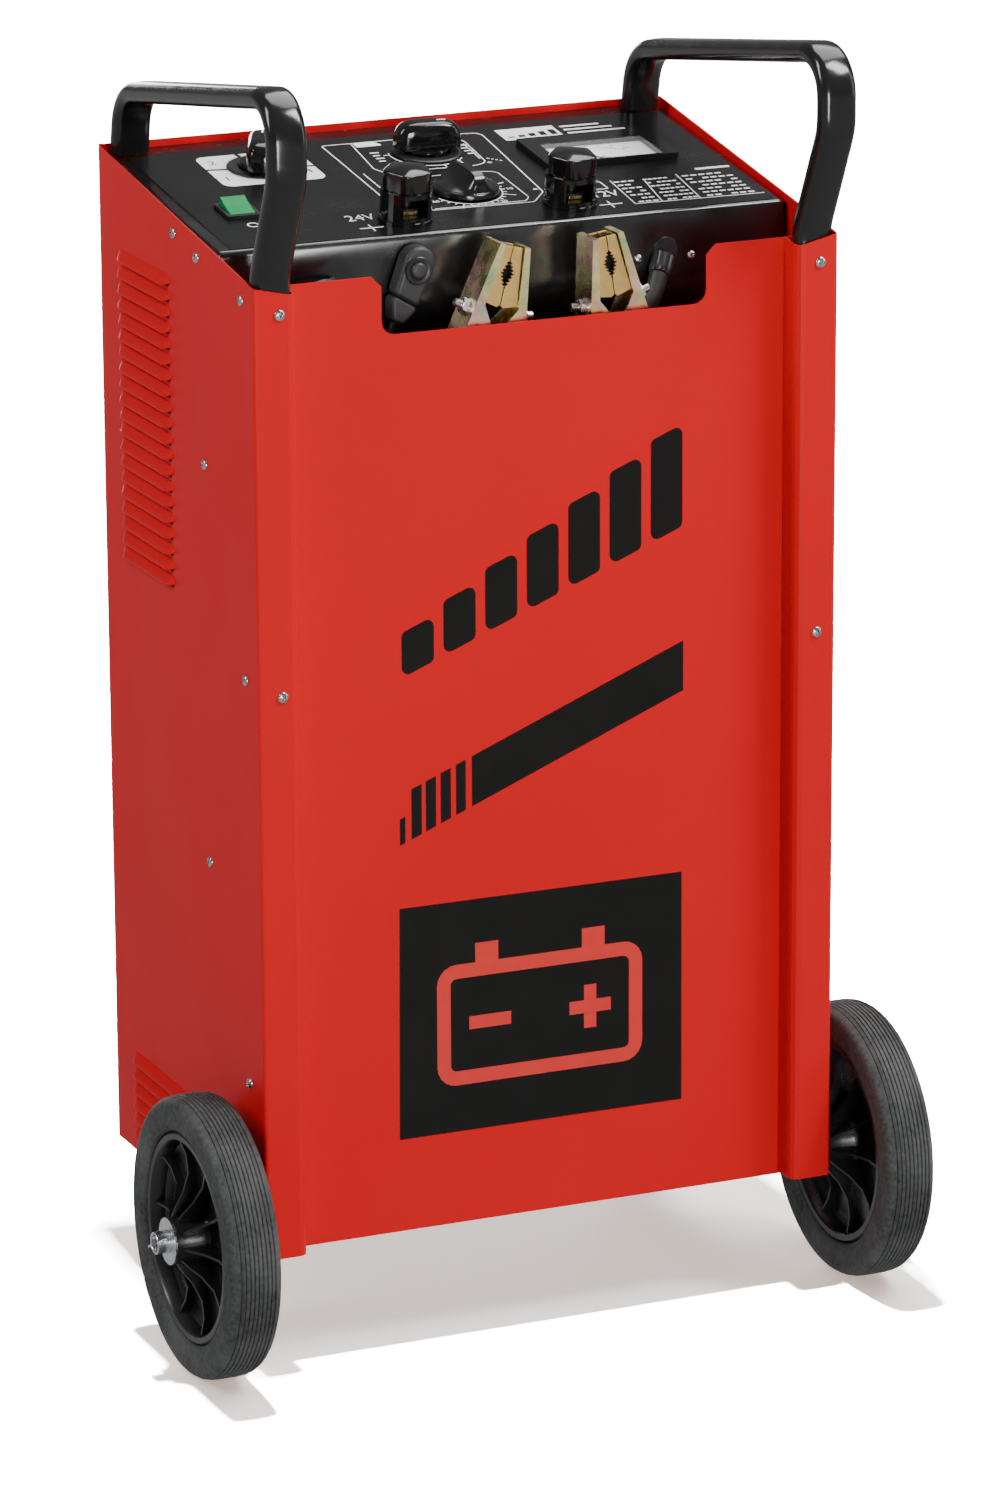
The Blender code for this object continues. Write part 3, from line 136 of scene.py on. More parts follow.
class Look:
    """A Principled material with a few shortcuts for its procedural nodes."""

    def __init__(self, name, roughness, metallic=0.0, stretch=1.0):
        self.material = bpy.data.materials.new(name)
        self.material.use_nodes = True
        self.tree = self.material.node_tree
        self.set(Roughness=roughness, Metallic=metallic)
        object_place = add_node(self.tree, "ShaderNodeTexCoord").outputs["Object"]
        self.place = add_node(self.tree, "ShaderNodeMapping", Vector=object_place,
                              Scale=(1.0, 1.0, stretch)).outputs["Vector"]

    def set(self, **inputs):
        feed(self.tree, self.tree.nodes["Principled BSDF"], **inputs)

    def noise(self, scale, detail=4.0, roughness=0.55, distortion=0.0):
        return add_node(self.tree, "ShaderNodeTexNoise", Vector=self.place, Scale=scale, Detail=detail,
                        Roughness=roughness, Distortion=distortion).outputs["Fac"]

    def ramp(self, value, stops):
        node = add_node(self.tree, "ShaderNodeValToRGB", Fac=value)
        elements = node.color_ramp.elements
        while len(elements) < len(stops):
            elements.new(0.5)
        for element, (at, colour) in zip(elements, stops):
            element.position = at
            element.color = (*colour, 1.0)
        return node.outputs["Color"]

    def spread(self, value, low, high, start=0.3, end=0.7):
        return add_node(self.tree, "ShaderNodeMapRange", Value=value, From_Min=start, From_Max=end,
                        To_Min=low, To_Max=high).outputs["Result"]

    def stain(self, amount, base, colour):
        """Lays a colour over a base by an amount."""
        node = add_node(self.tree, "ShaderNodeMix", Factor=amount)
        node.data_type = "RGBA"
        a, b = (next(s for s in node.inputs if s.name == slot and s.type == "RGBA") for slot in "AB")
        self.tree.links.new(base, a)
        b.default_value = (*colour, 1.0)
        mixed = next(s for s in node.outputs if s.type == "RGBA")
        self.set(Base_Color=mixed)

    def bump(self, source, distance):
        node = add_node(self.tree, "ShaderNodeBump", Height=source, Distance=distance, Strength=1.0)
        self.set(Normal=node.outputs["Normal"])


def simple_look(name, colour, roughness, metallic, spread, scale, grain, depth, gloss_spread=0.07,
                specular=0.5, stretch=1.0):
    """Slightly uneven colour and gloss with a fine surface grain."""
    look = Look(name, roughness, metallic, stretch)
    stops = [(at, tuple(c * factor for c in colour))
             for at, factor in ((0.3, 1 - spread), (0.7, 1 + spread))]
    gloss = look.spread(look.noise(scale * 2.3), roughness - gloss_spread, roughness + gloss_spread)
    look.set(Base_Color=look.ramp(look.noise(scale, 5.0), stops), Roughness=gloss,
             Specular_IOR_Level=specular)
    look.bump(look.noise(grain, 3.0), depth)
    return look


def banded_look(name, roughness, metallic, axis, scale, distortion, stops, depth):
    """Edges of stacked sheets or turns of wire, under varnish."""
    look = Look(name, roughness, metallic)
    wave = add_node(look.tree, "ShaderNodeTexWave", Vector=look.place, Scale=scale, Distortion=distortion)
    wave.bands_direction = axis
    look.set(Base_Color=look.ramp(wave.outputs["Fac"], stops))
    look.bump(wave.outputs["Fac"], depth)
    return look


def chromate_look():
    """Yellow chromate over zinc: straw colour that drifts to green and rose."""
    look = Look("yellow_chromate", 0.28, 1.0)
    tint = look.ramp(look.noise(26.0, 3.0, 0.5, 1.2), [
        (0.3, (0.5, 0.74, 0.36)), (0.42, (0.86, 0.8, 0.4)), (0.52, (0.94, 0.76, 0.36)),
        (0.62, (0.92, 0.56, 0.5)), (0.74, (0.72, 0.8, 0.62))])
    look.stain(look.spread(look.noise(190.0, 5.0), 0.0, 0.16, 0.54, 0.74), tint, (0.5, 0.38, 0.12))
    look.set(Roughness=look.spread(look.noise(70.0), 0.2, 0.38))
    look.bump(look.noise(800.0, 3.0), 0.00004)
    return look


# name: (material, colour, roughness, metallic, colour spread, patch scale, grain scale, grain depth,
#        gloss spread, specular level, stretch of the pattern along Z)
SIMPLE_LOOKS = {
    "red": ("red_enamel", (0.6, 0.007, 0.012), 0.34, 0.0, 0.03, 3.0, 420.0, 0.000035, 0.04, 0.05),
    "black_sheet": ("black_enamel", (0.01, 0.01, 0.011), 0.27, 0.0, 0.08, 25.0, 520.0, 0.00002, 0.05),
    "hood": ("hood_enamel", (0.006, 0.006, 0.0065), 0.24, 0.0, 0.08, 25.0, 520.0, 0.00001, 0.04, 0.85),
    "film": ("printed_film", (0.006, 0.006, 0.0065), 0.25, 0.0, 0.08, 9.0, 260.0, 0.000015, 0.04, 0.25),
    "handle": ("handle_moulding", (0.008, 0.008, 0.0085), 0.17, 0.0, 0.08, 18.0, 900.0, 0.00003, 0.05),
    "gloss": ("polished_moulding", (0.005, 0.005, 0.0055), 0.12, 0.0, 0.08, 30.0, 500.0, 0.00001, 0.03),
    "satin": ("satin_moulding", (0.01, 0.01, 0.011), 0.36, 0.0, 0.08, 30.0, 1300.0, 0.00003),
    "hub": ("wheel_moulding", (0.009, 0.009, 0.01), 0.3, 0.0, 0.08, 20.0, 800.0, 0.00003),
    "pendant": ("pendant_moulding", (0.021, 0.022, 0.024), 0.5, 0.0, 0.08, 60.0, 2200.0, 0.00005),
    "tyre": ("tyre_rubber", (0.03, 0.031, 0.032), 0.72, 0.0, 0.22, 60.0, 1500.0, 0.00018, 0.1),
    "cable": ("cable_sheath", (0.016, 0.016, 0.017), 0.52, 0.0, 0.08, 40.0, 600.0, 0.0001, 0.07, 0.5,
              0.18),
    "zinc": ("bright_zinc", (0.66, 0.67, 0.69), 0.26, 1.0, 0.16, 120.0, 900.0, 0.00003),
    "dark_zinc": ("screw_zinc", (0.5, 0.5, 0.51), 0.22, 1.0, 0.25, 300.0, 1200.0, 0.00003),
    "brass": ("machined_brass", (0.74, 0.5, 0.2), 0.27, 1.0, 0.1, 80.0, 900.0, 0.00003, 0.07, 0.5,
              0.1),
    "contact": ("contact_metal", (0.62, 0.41, 0.14), 0.44, 1.0, 0.1, 140.0, 1500.0, 0.00004),
    "green": ("green_rocker", (0.001, 0.21, 0.06), 0.45, 0.0, 0.1, 60.0, 500.0, 0.00001, 0.04, 0.12),
    "white_ink": ("white_ink", (0.9, 0.9, 0.88), 0.42, 0.0, 0.04, 200.0, 1800.0, 0.00001),
    "black_ink": ("black_ink", (0.008, 0.0075, 0.007), 0.33, 0.0, 0.1, 14.0, 700.0, 0.00002, 0.04,
                  0.15),
    "red_ink": ("red_ink", (0.62, 0.02, 0.016), 0.38, 0.0, 0.04, 40.0, 700.0, 0.00002),
    "dial": ("dial_paper", (0.92, 0.92, 0.9), 0.6, 0.0, 0.03, 60.0, 2500.0, 0.00001),
    "glass": ("meter_window", (0.95, 0.96, 0.96), 0.04, 0.0, 0.08, 40.0, 200.0, 0.000005, 0.015),
    "aluminium": ("extruded_aluminium", (0.7, 0.71, 0.72), 0.36, 1.0, 0.08, 50.0, 500.0, 0.00005, 0.07,
                  0.5, 0.05),
    "floor": ("studio_floor", (0.86, 0.86, 0.86), 0.75, 0.0, 0.01, 1.5, 60.0, 0.0001),
}


def make_looks():
    looks = {name: simple_look(*settings) for name, settings in SIMPLE_LOOKS.items()}
    tyre = looks["tyre"]
    rubber = tyre.ramp(tyre.noise(240.0, 3.0), [(0.3, (0.018, 0.019, 0.02)), (0.75, (0.06, 0.062, 0.062))])
    tyre.stain(tyre.spread(tyre.noise(16.0, 6.0), 0.0, 0.65, 0.44, 0.72), rubber, (0.11, 0.111, 0.111))
    looks["glass"].set(Alpha=0.07)
    looks["floor"].set(Emission_Color=(1.0, 0.7, 0.53, 1.0), Emission_Strength=0.52)
    looks["chromate"] = chromate_look()
    looks["core"] = banded_look("laminated_core", 0.45, 0.7, "Y", 160.0, 0.4,
                                [(0.2, (0.07, 0.07, 0.075)), (0.8, (0.2, 0.2, 0.21))], 0.0003)
    looks["winding"] = banded_look("varnished_winding", 0.32, 0.25, "Z", 62.0, 0.6,
                                   [(0.1, (0.11, 0.035, 0.012)), (0.7, (0.48, 0.19, 0.06))], 0.0008)
    return looks


# ---- shape helpers ------------------------------------------------------------------------
def shift(x, y, z):
    return Matrix.Translation((x, y, z))


def rotate(degrees, axis):
    return Matrix.Rotation(math.radians(degrees), 4, axis)


def polar(centre, radius, degrees):
    angle = math.radians(degrees)
    return (centre[0] + radius * math.cos(angle), centre[1] + radius * math.sin(angle))


def arc(centre, radius, start, end, steps):
    return [polar(centre, radius, start + (end - start) * i / steps) for i in range(steps + 1)]


def rectangle(x0, y0, x1, y1):
    return [(x0, y0), (x1, y0), (x1, y1), (x0, y1)]


def mirrored(profile):
    """A profile of (radius, height) points followed by its mirror image below height 0."""
    return profile + [(radius, -height) for radius, height in reversed(profile)]


def rounded(corners, radii, steps=4):
    """A closed outline or a path whose corners are replaced by arcs; radius 0 keeps a corner."""
    count = len(corners)
    points = []
    for i, radius in enumerate(radii):
        corner = Vector(corners[i])
        if radius == 0:
            points.append(tuple(corner))
            continue
        before = (Vector(corners[i - 1]) - corner).normalized()
        after = (Vector(corners[(i + 1) % count]) - corner).normalized()
        half = before.angle(after) / 2
        reach = radius / math.tan(half)
        centre = corner + (before + after).normalized() * radius / math.sin(half)
        first = corner + before * reach - centre
        last = corner + after * reach - centre
        sweep = first.angle_signed(last)
        for k in range(steps + 1):
            turned = first.copy()
            turned.rotate(Matrix.Rotation(-sweep * k / steps, 2))
            points.append(tuple(centre + turned))
    return points


def skin(bm, rows, loop=True):
    """Adds faces between neighbouring rows of vertices."""
    for row, following in zip(rows, rows[1:]):
        if loop:
            row, following = row + row[:1], following + following[:1]
        for corners in zip(row, row[1:], following[1:], following):
            bm.faces.new(corners)


def add_prism(bm, outline, axis, start, end, place=Matrix.Identity(4)):
    """Adds a closed outline pushed along an axis to a bmesh."""
    rows = []
    for depth in (start, end):
        row = []
        for a, b in outline:
            point = {"X": (depth, a, b), "Y": (a, depth, b), "Z": (a, b, depth)}[axis]
            row.append(bm.verts.new(place @ Vector(point)))
        rows.append(row)
    faces = [bm.faces.new(rows[0]), bm.faces.new(list(reversed(rows[1])))]
    for i in range(len(outline)):
        j = (i + 1) % len(outline)
        faces.append(bm.faces.new((rows[0][j], rows[0][i], rows[1][i], rows[1][j])))
    bmesh.ops.recalc_face_normals(bm, faces=faces)
    return bm


def add_box(bm, low, high, place=Matrix.Identity(4)):
    return add_prism(bm, rectangle(*low[:2], *high[:2]), "Z", low[2], high[2], place)


def add_turned(bm, profile, segments, axis="Z", place=Matrix.Identity(4), closed=True):
    """Adds an outline of (radius, height) points turned about an axis."""
    if axis == "X":
        place = place @ rotate(90, "Y")
    if axis == "Y":
        place = place @ rotate(-90, "X")
    rings = []
    for radius, height in profile:
        ring = []
        for i in range(segments if radius > 0 else 1):
            angle = 2 * math.pi * i / segments
            point = Vector((radius * math.cos(angle), radius * math.sin(angle), height))
            ring.append(bm.verts.new(place @ point))
        rings.append(ring)
    faces = []
    for ring, following in zip(rings, rings[1:] + (rings[:1] if closed else [])):
        for i in range(segments if len(ring) + len(following) > 2 else 0):
            corners = (ring[i % len(ring)], ring[(i + 1) % len(ring)],
                       following[(i + 1) % len(following)], following[i % len(following)])
            faces.append(bm.faces.new(tuple(dict.fromkeys(corners))))
    bmesh.ops.recalc_face_normals(bm, faces=faces)
    return bm


def add_strip(bm, points, width, low, high, closed=False, place=Matrix.Identity(4)):
    """Adds a flat printed line of even width through points of a plane."""
    nodes = [Vector(p) for p in points]
    count = len(nodes)
    left, right = [], []
    for i, here in enumerate(nodes):
        before = nodes[i - 1] if i or closed else here
        after = nodes[(i + 1) % count] if i < count - 1 or closed else here
        into = (here - before).normalized() if (here - before).length > 1e-9 else None
        out = (after - here).normalized() if (after - here).length > 1e-9 else into
        into = into or out
        mean = (into + out).normalized()
        across = Vector((-mean.y, mean.x)) * (width / 2 / max(mean.dot(into), 0.4))
        left.append(here + across)
        right.append(here - across)
    for i in range(count if closed else count - 1):
        j = (i + 1) % count
        add_prism(bm, [tuple(p) for p in (right[i], right[j], left[j], left[i])], "Z", low, high, place)


def add_text(bm, text, spot, size, low, high, widen=1.0):
    """Adds flat lettering to a bmesh."""
    curve = bpy.data.curves.new("lettering", "FONT")
    curve.body = text
    curve.size = size
    curve.align_x = "CENTER"
    curve.align_y = "CENTER"
    curve.extrude = (high - low) / 2
    curve.resolution_u = 3
    holder = bpy.data.objects.new("lettering", curve)
    bpy.context.scene.collection.objects.link(holder)
    bpy.context.view_layer.update()
    shape = bpy.data.meshes.new_from_object(holder.evaluated_get(bpy.context.evaluated_depsgraph_get()))
    shape.transform(shift(*spot, (low + high) / 2) @ Matrix.Diagonal((widen, 1, 1, 1)))
    bm.from_mesh(shape)
    bpy.data.objects.remove(holder)
    bpy.data.curves.remove(curve)
    bpy.data.meshes.remove(shape)


def add_sheet(target, thickness):
    """Gives an open surface the thickness of its sheet."""
    wall = target.modifiers.new("sheet", "SOLIDIFY")
    wall.thickness = thickness
    wall.offset = -1.0


def soften(target, width, segments):
    """Rounds the sharp edges."""
    step = target.modifiers.new("rounding", "BEVEL")
    step.width = width
    step.segments = segments
    step.limit_method = "ANGLE"
    step.angle_limit = math.radians(40)
    step.harden_normals = True


def finish_piece(name, bm, look, body="cabinet", place=CASING, angle=35.0, bevel=0.0,
                 segments=2, replaces=()):
    """Turns a bmesh into a piece that rides on a body."""
    mesh = bpy.data.meshes.new(name)
    bm.to_mesh(mesh)
    bm.free()
    mesh.shade_smooth()
    mesh.set_sharp_from_angle(angle=math.radians(angle))
    mesh.materials.append(LOOKS[look].material)
    made = bpy.data.objects.new(name, mesh)
    bpy.context.scene.collection.objects.link(made)
    made.matrix_world = place
    if bevel:
        soften(made, bevel, segments)
    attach(made, body)
    if replaces:
        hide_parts(*replaces)
    return made


def add_wire(name, points, radius, resolution, look, body="cabinet", place=Matrix.Identity(4)):
    """A round wire or cable through points, riding on a body."""
    curve = bpy.data.curves.new(name, "CURVE")
    curve.dimensions = "3D"
    curve.bevel_depth = radius
    curve.bevel_resolution = resolution
    curve.use_fill_caps = True
    spline = curve.splines.new("POLY")
    spline.points.add(len(points) - 1)
    for spot, point in zip(spline.points, points):
        spot.co = (*point, 1.0)
    curve.materials.append(LOOKS[look].material)
    made = bpy.data.objects.new(name, curve)
    bpy.context.scene.collection.objects.link(made)
    made.matrix_world = place
    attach(made, body)
    return made


def dress(name, look, bevel, segments):
    """Gives a carried-over CAD node its finish and softer edges."""
    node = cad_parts[name]
    node.data.materials.clear()
    node.data.materials.append(LOOKS[look].material)
    node.data.shade_smooth()
    node.data.set_sharp_from_angle(angle=math.radians(35))
    if bevel:
        soften(node, bevel, segments)
    return node


# ---- cables -------------------------------------------------------------------------------
def smooth_route(points, spacing):
    """Points at an even spacing on one smooth curve through the route's own points."""
    nodes = [Vector(p) for p in points]
    nodes = [2 * nodes[0] - nodes[1]] + nodes + [2 * nodes[-1] - nodes[-2]]
    fine = []
    for a, b, c, d in zip(nodes, nodes[1:], nodes[2:], nodes[3:]):
        for k in range(24):
            t = k / 24
            fine.append(0.5 * (2 * b + (c - a) * t + (2 * a - 5 * b + 4 * c - d) * t ** 2
                               + (3 * b - a - 3 * c + d) * t ** 3))
    fine.append(nodes[-2])
    total = sum((q - p).length for p, q in zip(fine, fine[1:]))
    count = max(2, round(total / spacing))
    step = total / count
    marks = [step * i for i in range(1, count)]
    even = [fine[0]]
    walked = 0.0
    for p, q in zip(fine, fine[1:]):
        length = (q - p).length
        while marks and walked + length >= marks[0]:
            even.append(p.lerp(q, (marks.pop(0) - walked) / length))
        walked += length
    return even + [fine[-1]]


def clamp_point(name, across, along):
    at, lean = CLAMPS[name]
    return tuple(shift(*at) @ rotate(lean, "Y") @ Vector((across, 0, along)))


REAR_Y, MIDDLE_Y, FRONT_Y = -0.0925, -0.1172, -0.1425
RUN_LOW_Z, RUN_HIGH_Z = 0.61, 0.741
LUG_AT = (-0.12, MIDDLE_Y, RUN_HIGH_Z)


def negative_route():
    hole = Vector((CABLE_HOLE[0], FOLD_Y, CABLE_HOLE[1]))
    start = tuple(hole + CABLE_EXIT * (SLEEVE_REACH + 2 * GAP))
    straight = tuple(hole + CABLE_EXIT * (SLEEVE_REACH + 0.008))
    entry = clamp_point("negative", -0.0303, HANDLE_END - 0.0008)
    below = clamp_point("negative", -0.0303, HANDLE_END - 0.012)
    return [start, straight, (0.132, -0.1008, 0.911), (0.1258, -0.1013, 0.894),
            (0.1215, -0.1012, 0.87),
            (0.126, -0.101, 0.835), (0.145, -0.106, 0.795), (0.17, -0.114, 0.76),
            (0.195, MIDDLE_Y, 0.72), (0.205, MIDDLE_Y, 0.675), (0.186, MIDDLE_Y, 0.629),
            (0.137, MIDDLE_Y, RUN_LOW_Z + 0.001), (0.06, MIDDLE_Y, RUN_LOW_Z),
            (-0.03, MIDDLE_Y, RUN_LOW_Z), (-0.095, MIDDLE_Y, RUN_LOW_Z),
            (-0.144, -0.112, 0.629), (-0.162, -0.1045, 0.675), (-0.144, -0.0965, 0.721),
            (-0.095, REAR_Y, RUN_HIGH_Z), (-0.02, REAR_Y, RUN_HIGH_Z),
            (0.07, REAR_Y, RUN_HIGH_Z), (0.148, REAR_Y, RUN_HIGH_Z),
            (0.2, REAR_Y, 0.72), (0.218, REAR_Y, 0.675), (0.2, REAR_Y, 0.629),
            (0.148, REAR_Y, RUN_LOW_Z), (0.096, -0.095, 0.629), (0.074, -0.104, 0.676),
            (0.0715, -0.1205, 0.728), below, entry]


def positive_route():
    entry = clamp_point("positive", -0.0303, HANDLE_END - 0.0008)
    below = clamp_point("positive", -0.0303, HANDLE_END - 0.012)
    return [entry, below, (-0.111, -0.139, 0.725), (-0.114, FRONT_Y, 0.67),
            (-0.092, FRONT_Y, 0.626), (-0.045, FRONT_Y, RUN_LOW_Z),
            (0.03, FRONT_Y, RUN_LOW_Z), (0.09, FRONT_Y, RUN_LOW_Z),
            (0.145, FRONT_Y, RUN_LOW_Z), (0.192, FRONT_Y, 0.628), (0.211, FRONT_Y, 0.675),
            (0.192, FRONT_Y, 0.718), (0.145, FRONT_Y, 0.732), (0.09, FRONT_Y, 0.73),
            (0.045, -0.141, 0.731), (-0.01, -0.128, 0.737),
            (-0.065, MIDDLE_Y, RUN_HIGH_Z), LUG_AT]


def pendant_route():
    hole = (PENDANT_HOLE[0], FOLD_Y - 0.0005, PENDANT_HOLE[1])
    tip = shift(*PENDANT_AT) @ rotate(PENDANT_LEAN, "Y") @ Vector((0, PENDANT_THICK / 2,
                                                                   PENDANT_TIP - GAP))
    return [tuple(tip), (-0.118, -0.0965, 0.885), (-0.14, -0.0985, 0.84),
            (-0.17, -0.1, 0.77), (-0.188, -0.102, 0.7), (-0.193, -0.106, 0.65),
            (-0.202, -0.11, 0.618), (-0.22, -0.113, 0.6045), (-0.239, -0.116, 0.618),
            (-0.248, -0.118, 0.65), (-0.249, -0.118, 0.72), (-0.249, -0.116, 0.8),
            (-0.242, -0.112, 0.87), (-0.225, -0.108, 0.915), (-0.2, -0.104, 0.94),
            (-0.179, -0.099, 0.949), (hole[0] - 0.005, -0.093, hole[2]), hole]


def add_cable(node, route, diameter, spacing, **facts):
    """A round cable on the CAD cable's own line."""
    points = [CASING @ point for point in smooth_route(route, spacing)]
    made = add_wire(node + "_sheath", points, diameter / 2, 6, "cable")
    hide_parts(node)


# ---- casing details -----------------------------------------------------------------------
LOUVRE_PITCH = 0.01405
LOUVRE_ROWS = [top - i * LOUVRE_PITCH for top, count in ((0.9335, 20), (0.1955, 6)) for i in range(count)]
LOUVRE_Y0, LOUVRE_Y1 = 0.014, 0.138


def louvre_bank(side, name):
    """Pressed hoods over the slots of a side panel, open at the bottom."""
    bm = bmesh.new()
    across, down = 22, 7
    proud, taper = 0.0056, 0.011
    face = HALF_WIDTH - 0.0003
    for row in LOUVRE_ROWS:
        top, lip = row + 0.0098, row - 0.0014
        grid = []
        for i in range(across + 1):
            u = 0.5 - 0.5 * math.cos(math.pi * i / across)
            y = LOUVRE_Y0 + (LOUVRE_Y1 - LOUVRE_Y0) * u
            end = min(y - LOUVRE_Y0, LOUVRE_Y1 - y) / taper
            fade = math.sin(math.pi / 2 * min(1.0, end)) ** 0.7 if end > 0 else 0.0
            line = []
            for k in range(down + 1):
                v = k / down
                rise = proud * fade * math.sin(math.pi / 2 * v) ** 1.25
                z = top + (lip - top) * v * (0.72 + 0.28 * fade)
                line.append(bm.verts.new((side * (face + rise), y, z)))
            grid.append(line)
        skin(bm, grid, loop=False)
    bmesh.ops.recalc_face_normals(bm, faces=bm.faces)
    for hood_face in bm.faces:
        if hood_face.normal.x * side < 0:
            hood_face.normal_flip()
    add_sheet(finish_piece(name, bm, "red", angle=60), 0.0009)


def add_screw(bm, place, radius=0.005, height=0.0024, spin=0.0):
    """A domed head with a cross recess, pointing along its own +Z."""
    segments = 40
    recess_share, recess_half, recess_depth = 0.55, 0.00062, 0.0013
    rows = []
    for share in (0.0, 0.13, 0.26, 0.39, 0.52, 0.6, 0.76, 0.9, 0.98, 1.0):
        r = radius * share
        dome = height * (1 - 0.62 * share ** 2.6) if share < 0.97 else height * 0.3
        if share == 1.0:
            dome = 0.0
        row = []
        for i in range(segments if share else 1):
            angle = 2 * math.pi * i / segments
            arm = min(abs(r * math.sin(angle + spin)), abs(r * math.cos(angle + spin)))
            sunk = recess_depth if share < recess_share and arm < recess_half else 0.0
            point = Vector((r * math.cos(angle), r * math.sin(angle), dome - sunk))
            row.append(bm.verts.new(place @ point))
        rows.append(row)
    for i in range(segments):
        j = (i + 1) % segments
        bm.faces.new((rows[0][0], rows[1][i], rows[1][j]))
        for a, b in zip(rows[1:], rows[2:]):
            bm.faces.new((a[i], b[i], b[j], a[j]))


SIDE_SCREWS = [(0.0042, 0.981), (-0.0495, 0.97), (-0.1508, 0.953), (-0.0613, 0.792),
               (-0.1494, 0.623), (-0.0597, 0.437), (-0.1455, 0.2605)]
COLUMN_SCREWS = [(-0.2482, 0.944), (-0.2497, 0.613), (0.2545, 0.944), (0.2537, 0.614)]
GROMMET_SCREWS = [(0.1263, 0.9396), (0.1768, 0.9387)]
BACK_SCREW_ROWS = (0.15, 0.4, 0.65, 0.9)


def screws():
    for side, name in ((-1, "left"), (1, "right")):
        bm = bmesh.new()
        for i, (y, z) in enumerate(SIDE_SCREWS):
            add_screw(bm, shift(side * HALF_WIDTH, y, z) @ rotate(side * 90, "Y"), spin=0.5 + i * 0.9)
        finish_piece(f"side_screws_{name}", bm, "dark_zinc", angle=50)
    bm = bmesh.new()
    for i, (x, z) in enumerate(COLUMN_SCREWS):
        add_screw(bm, shift(x, -HALF_DEPTH, z) @ rotate(90, "X"), spin=0.3 + i * 0.7)
    finish_piece("column_screws", bm, "dark_zinc", angle=50)
    bm = bmesh.new()
    for i, (x, z) in enumerate(GROMMET_SCREWS):
        add_screw(bm, shift(x, FOLD_Y, z) @ rotate(90, "X"), 0.004, 0.0022, 0.8 + i)
    finish_piece("grommet_screws", bm, "zinc", angle=50)
    bm = bmesh.new()
    for i, x in enumerate((-0.258, 0.258)):
        for k, z in enumerate(BACK_SCREW_ROWS):
            add_screw(bm, shift(x, BACK_Y, z) @ rotate(-90, "X"), spin=i + k * 0.8)
    finish_piece("back_screws", bm, "dark_zinc", angle=50)


def front_graphics():
    """Plain printed shapes on the front panel: rising bars, a slanted band, a battery sign."""
    place = shift(0, FRONT_FACE_Y, 0) @ rotate(90, "X")
    slope, high, top = 0.402, 0.00012, 0.00022
    bm = bmesh.new()

    def slanted(x0, x1, z0, tall):
        z1 = z0 + (x1 - x0) * slope
        return [(x0, z0), (x1, z1), (x1, z1 + tall), (x0, z0 + tall)]

    spans = [(-0.132, -0.127), (-0.121, -0.1115), (-0.1075, -0.098), (-0.0935, -0.084),
             (-0.079, -0.07), (-0.064, 0.1375)]
    for i, (x0, x1) in enumerate(spans):
        band = slanted(x0, x1, 0.5677 + (x0 - 0.1375) * slope, 0.045 if i else 0.0235)
        add_prism(bm, band, "Z", 0.0, high, place)
    for i in range(7):
        x = -0.129 + i * 0.0392
        bar = slanted(x, x + 0.03, 0.608 + (x + 0.132) * slope, 0.04 + i * 0.0085)
        add_prism(bm, rounded(bar, [0.006] * 4), "Z", 0.0, high, place)
    square = [(-0.1346, 0.1909), (0.1369, 0.1905), (0.1365, 0.4018), (-0.133, 0.4022)]
    add_prism(bm, square, "Z", 0.0, high, place)
    finish_piece("front_print_black", bm, "black_ink")
    bm = bmesh.new()
    outline = rounded(rectangle(-0.092, 0.24, 0.092, 0.338), [0.012] * 4, 5)
    add_strip(bm, outline, 0.013, high, top, True, place)
    poles = [(-0.062, 0.3445, -0.04, 0.362), (0.04, 0.3445, 0.062, 0.362)]
    minus = [(-0.068, 0.2835, -0.028, 0.2955)]
    plus = [(0.028, 0.2835, 0.068, 0.2955), (0.042, 0.2695, 0.054, 0.2834), (0.042, 0.2956, 0.054, 0.3095)]
    for x0, z0, x1, z1 in poles + minus + plus:
        add_box(bm, (x0, z0, high), (x1, z1, top), place)
    finish_piece("front_print_red", bm, "red_ink")


def console_hood():
    """The folded hood with rounded fold and side edges."""
    back, fold_radius, side_radius = CONSOLE_BACK_Y, 0.0028, 0.0075
    outline = [(FOLD_Y, FLANGE_Z), (back, FLANGE_Z),
               (back, FOLD_Z + (back - FOLD_Y) * CONSOLE_SLOPE), (FOLD_Y, FOLD_Z)]
    bm = add_prism(bmesh.new(), outline, "X", -CONSOLE_HALF, CONSOLE_HALF)

    def round_edges(edges, offset, segments):
        bmesh.ops.bevel(bm, geom=edges, offset=offset, offset_type="OFFSET", segments=segments,
                        profile=0.5, affect="EDGES")

    fold = [e for e in bm.edges if all(abs(v.co.z - FOLD_Z) < 1e-5 and abs(v.co.y - FOLD_Y) < 1e-5
                                       for v in e.verts)]
    round_edges(fold, fold_radius, 6)
    sides = [e for e in bm.edges if abs(e.verts[0].co.x - e.verts[1].co.x) < 1e-6
             and all(v.co.z > FOLD_Z - 0.0035 for v in e.verts)]
    round_edges(sides, side_radius, 5)
    gone = [f for f in bm.faces if f.normal.z < -0.9 or f.normal.y > 0.9]
    bmesh.ops.delete(bm, geom=gone, context="FACES")
    add_sheet(finish_piece("console_hood", bm, "hood", replaces=["console_panel"]), SHEET)


# ---- console print ------------------------------------------------------------------------
FILM_LOW, FILM_HIGH = 0.0001, 0.00045
WHITE_HIGH, BLACK_HIGH = 0.00056, 0.0006


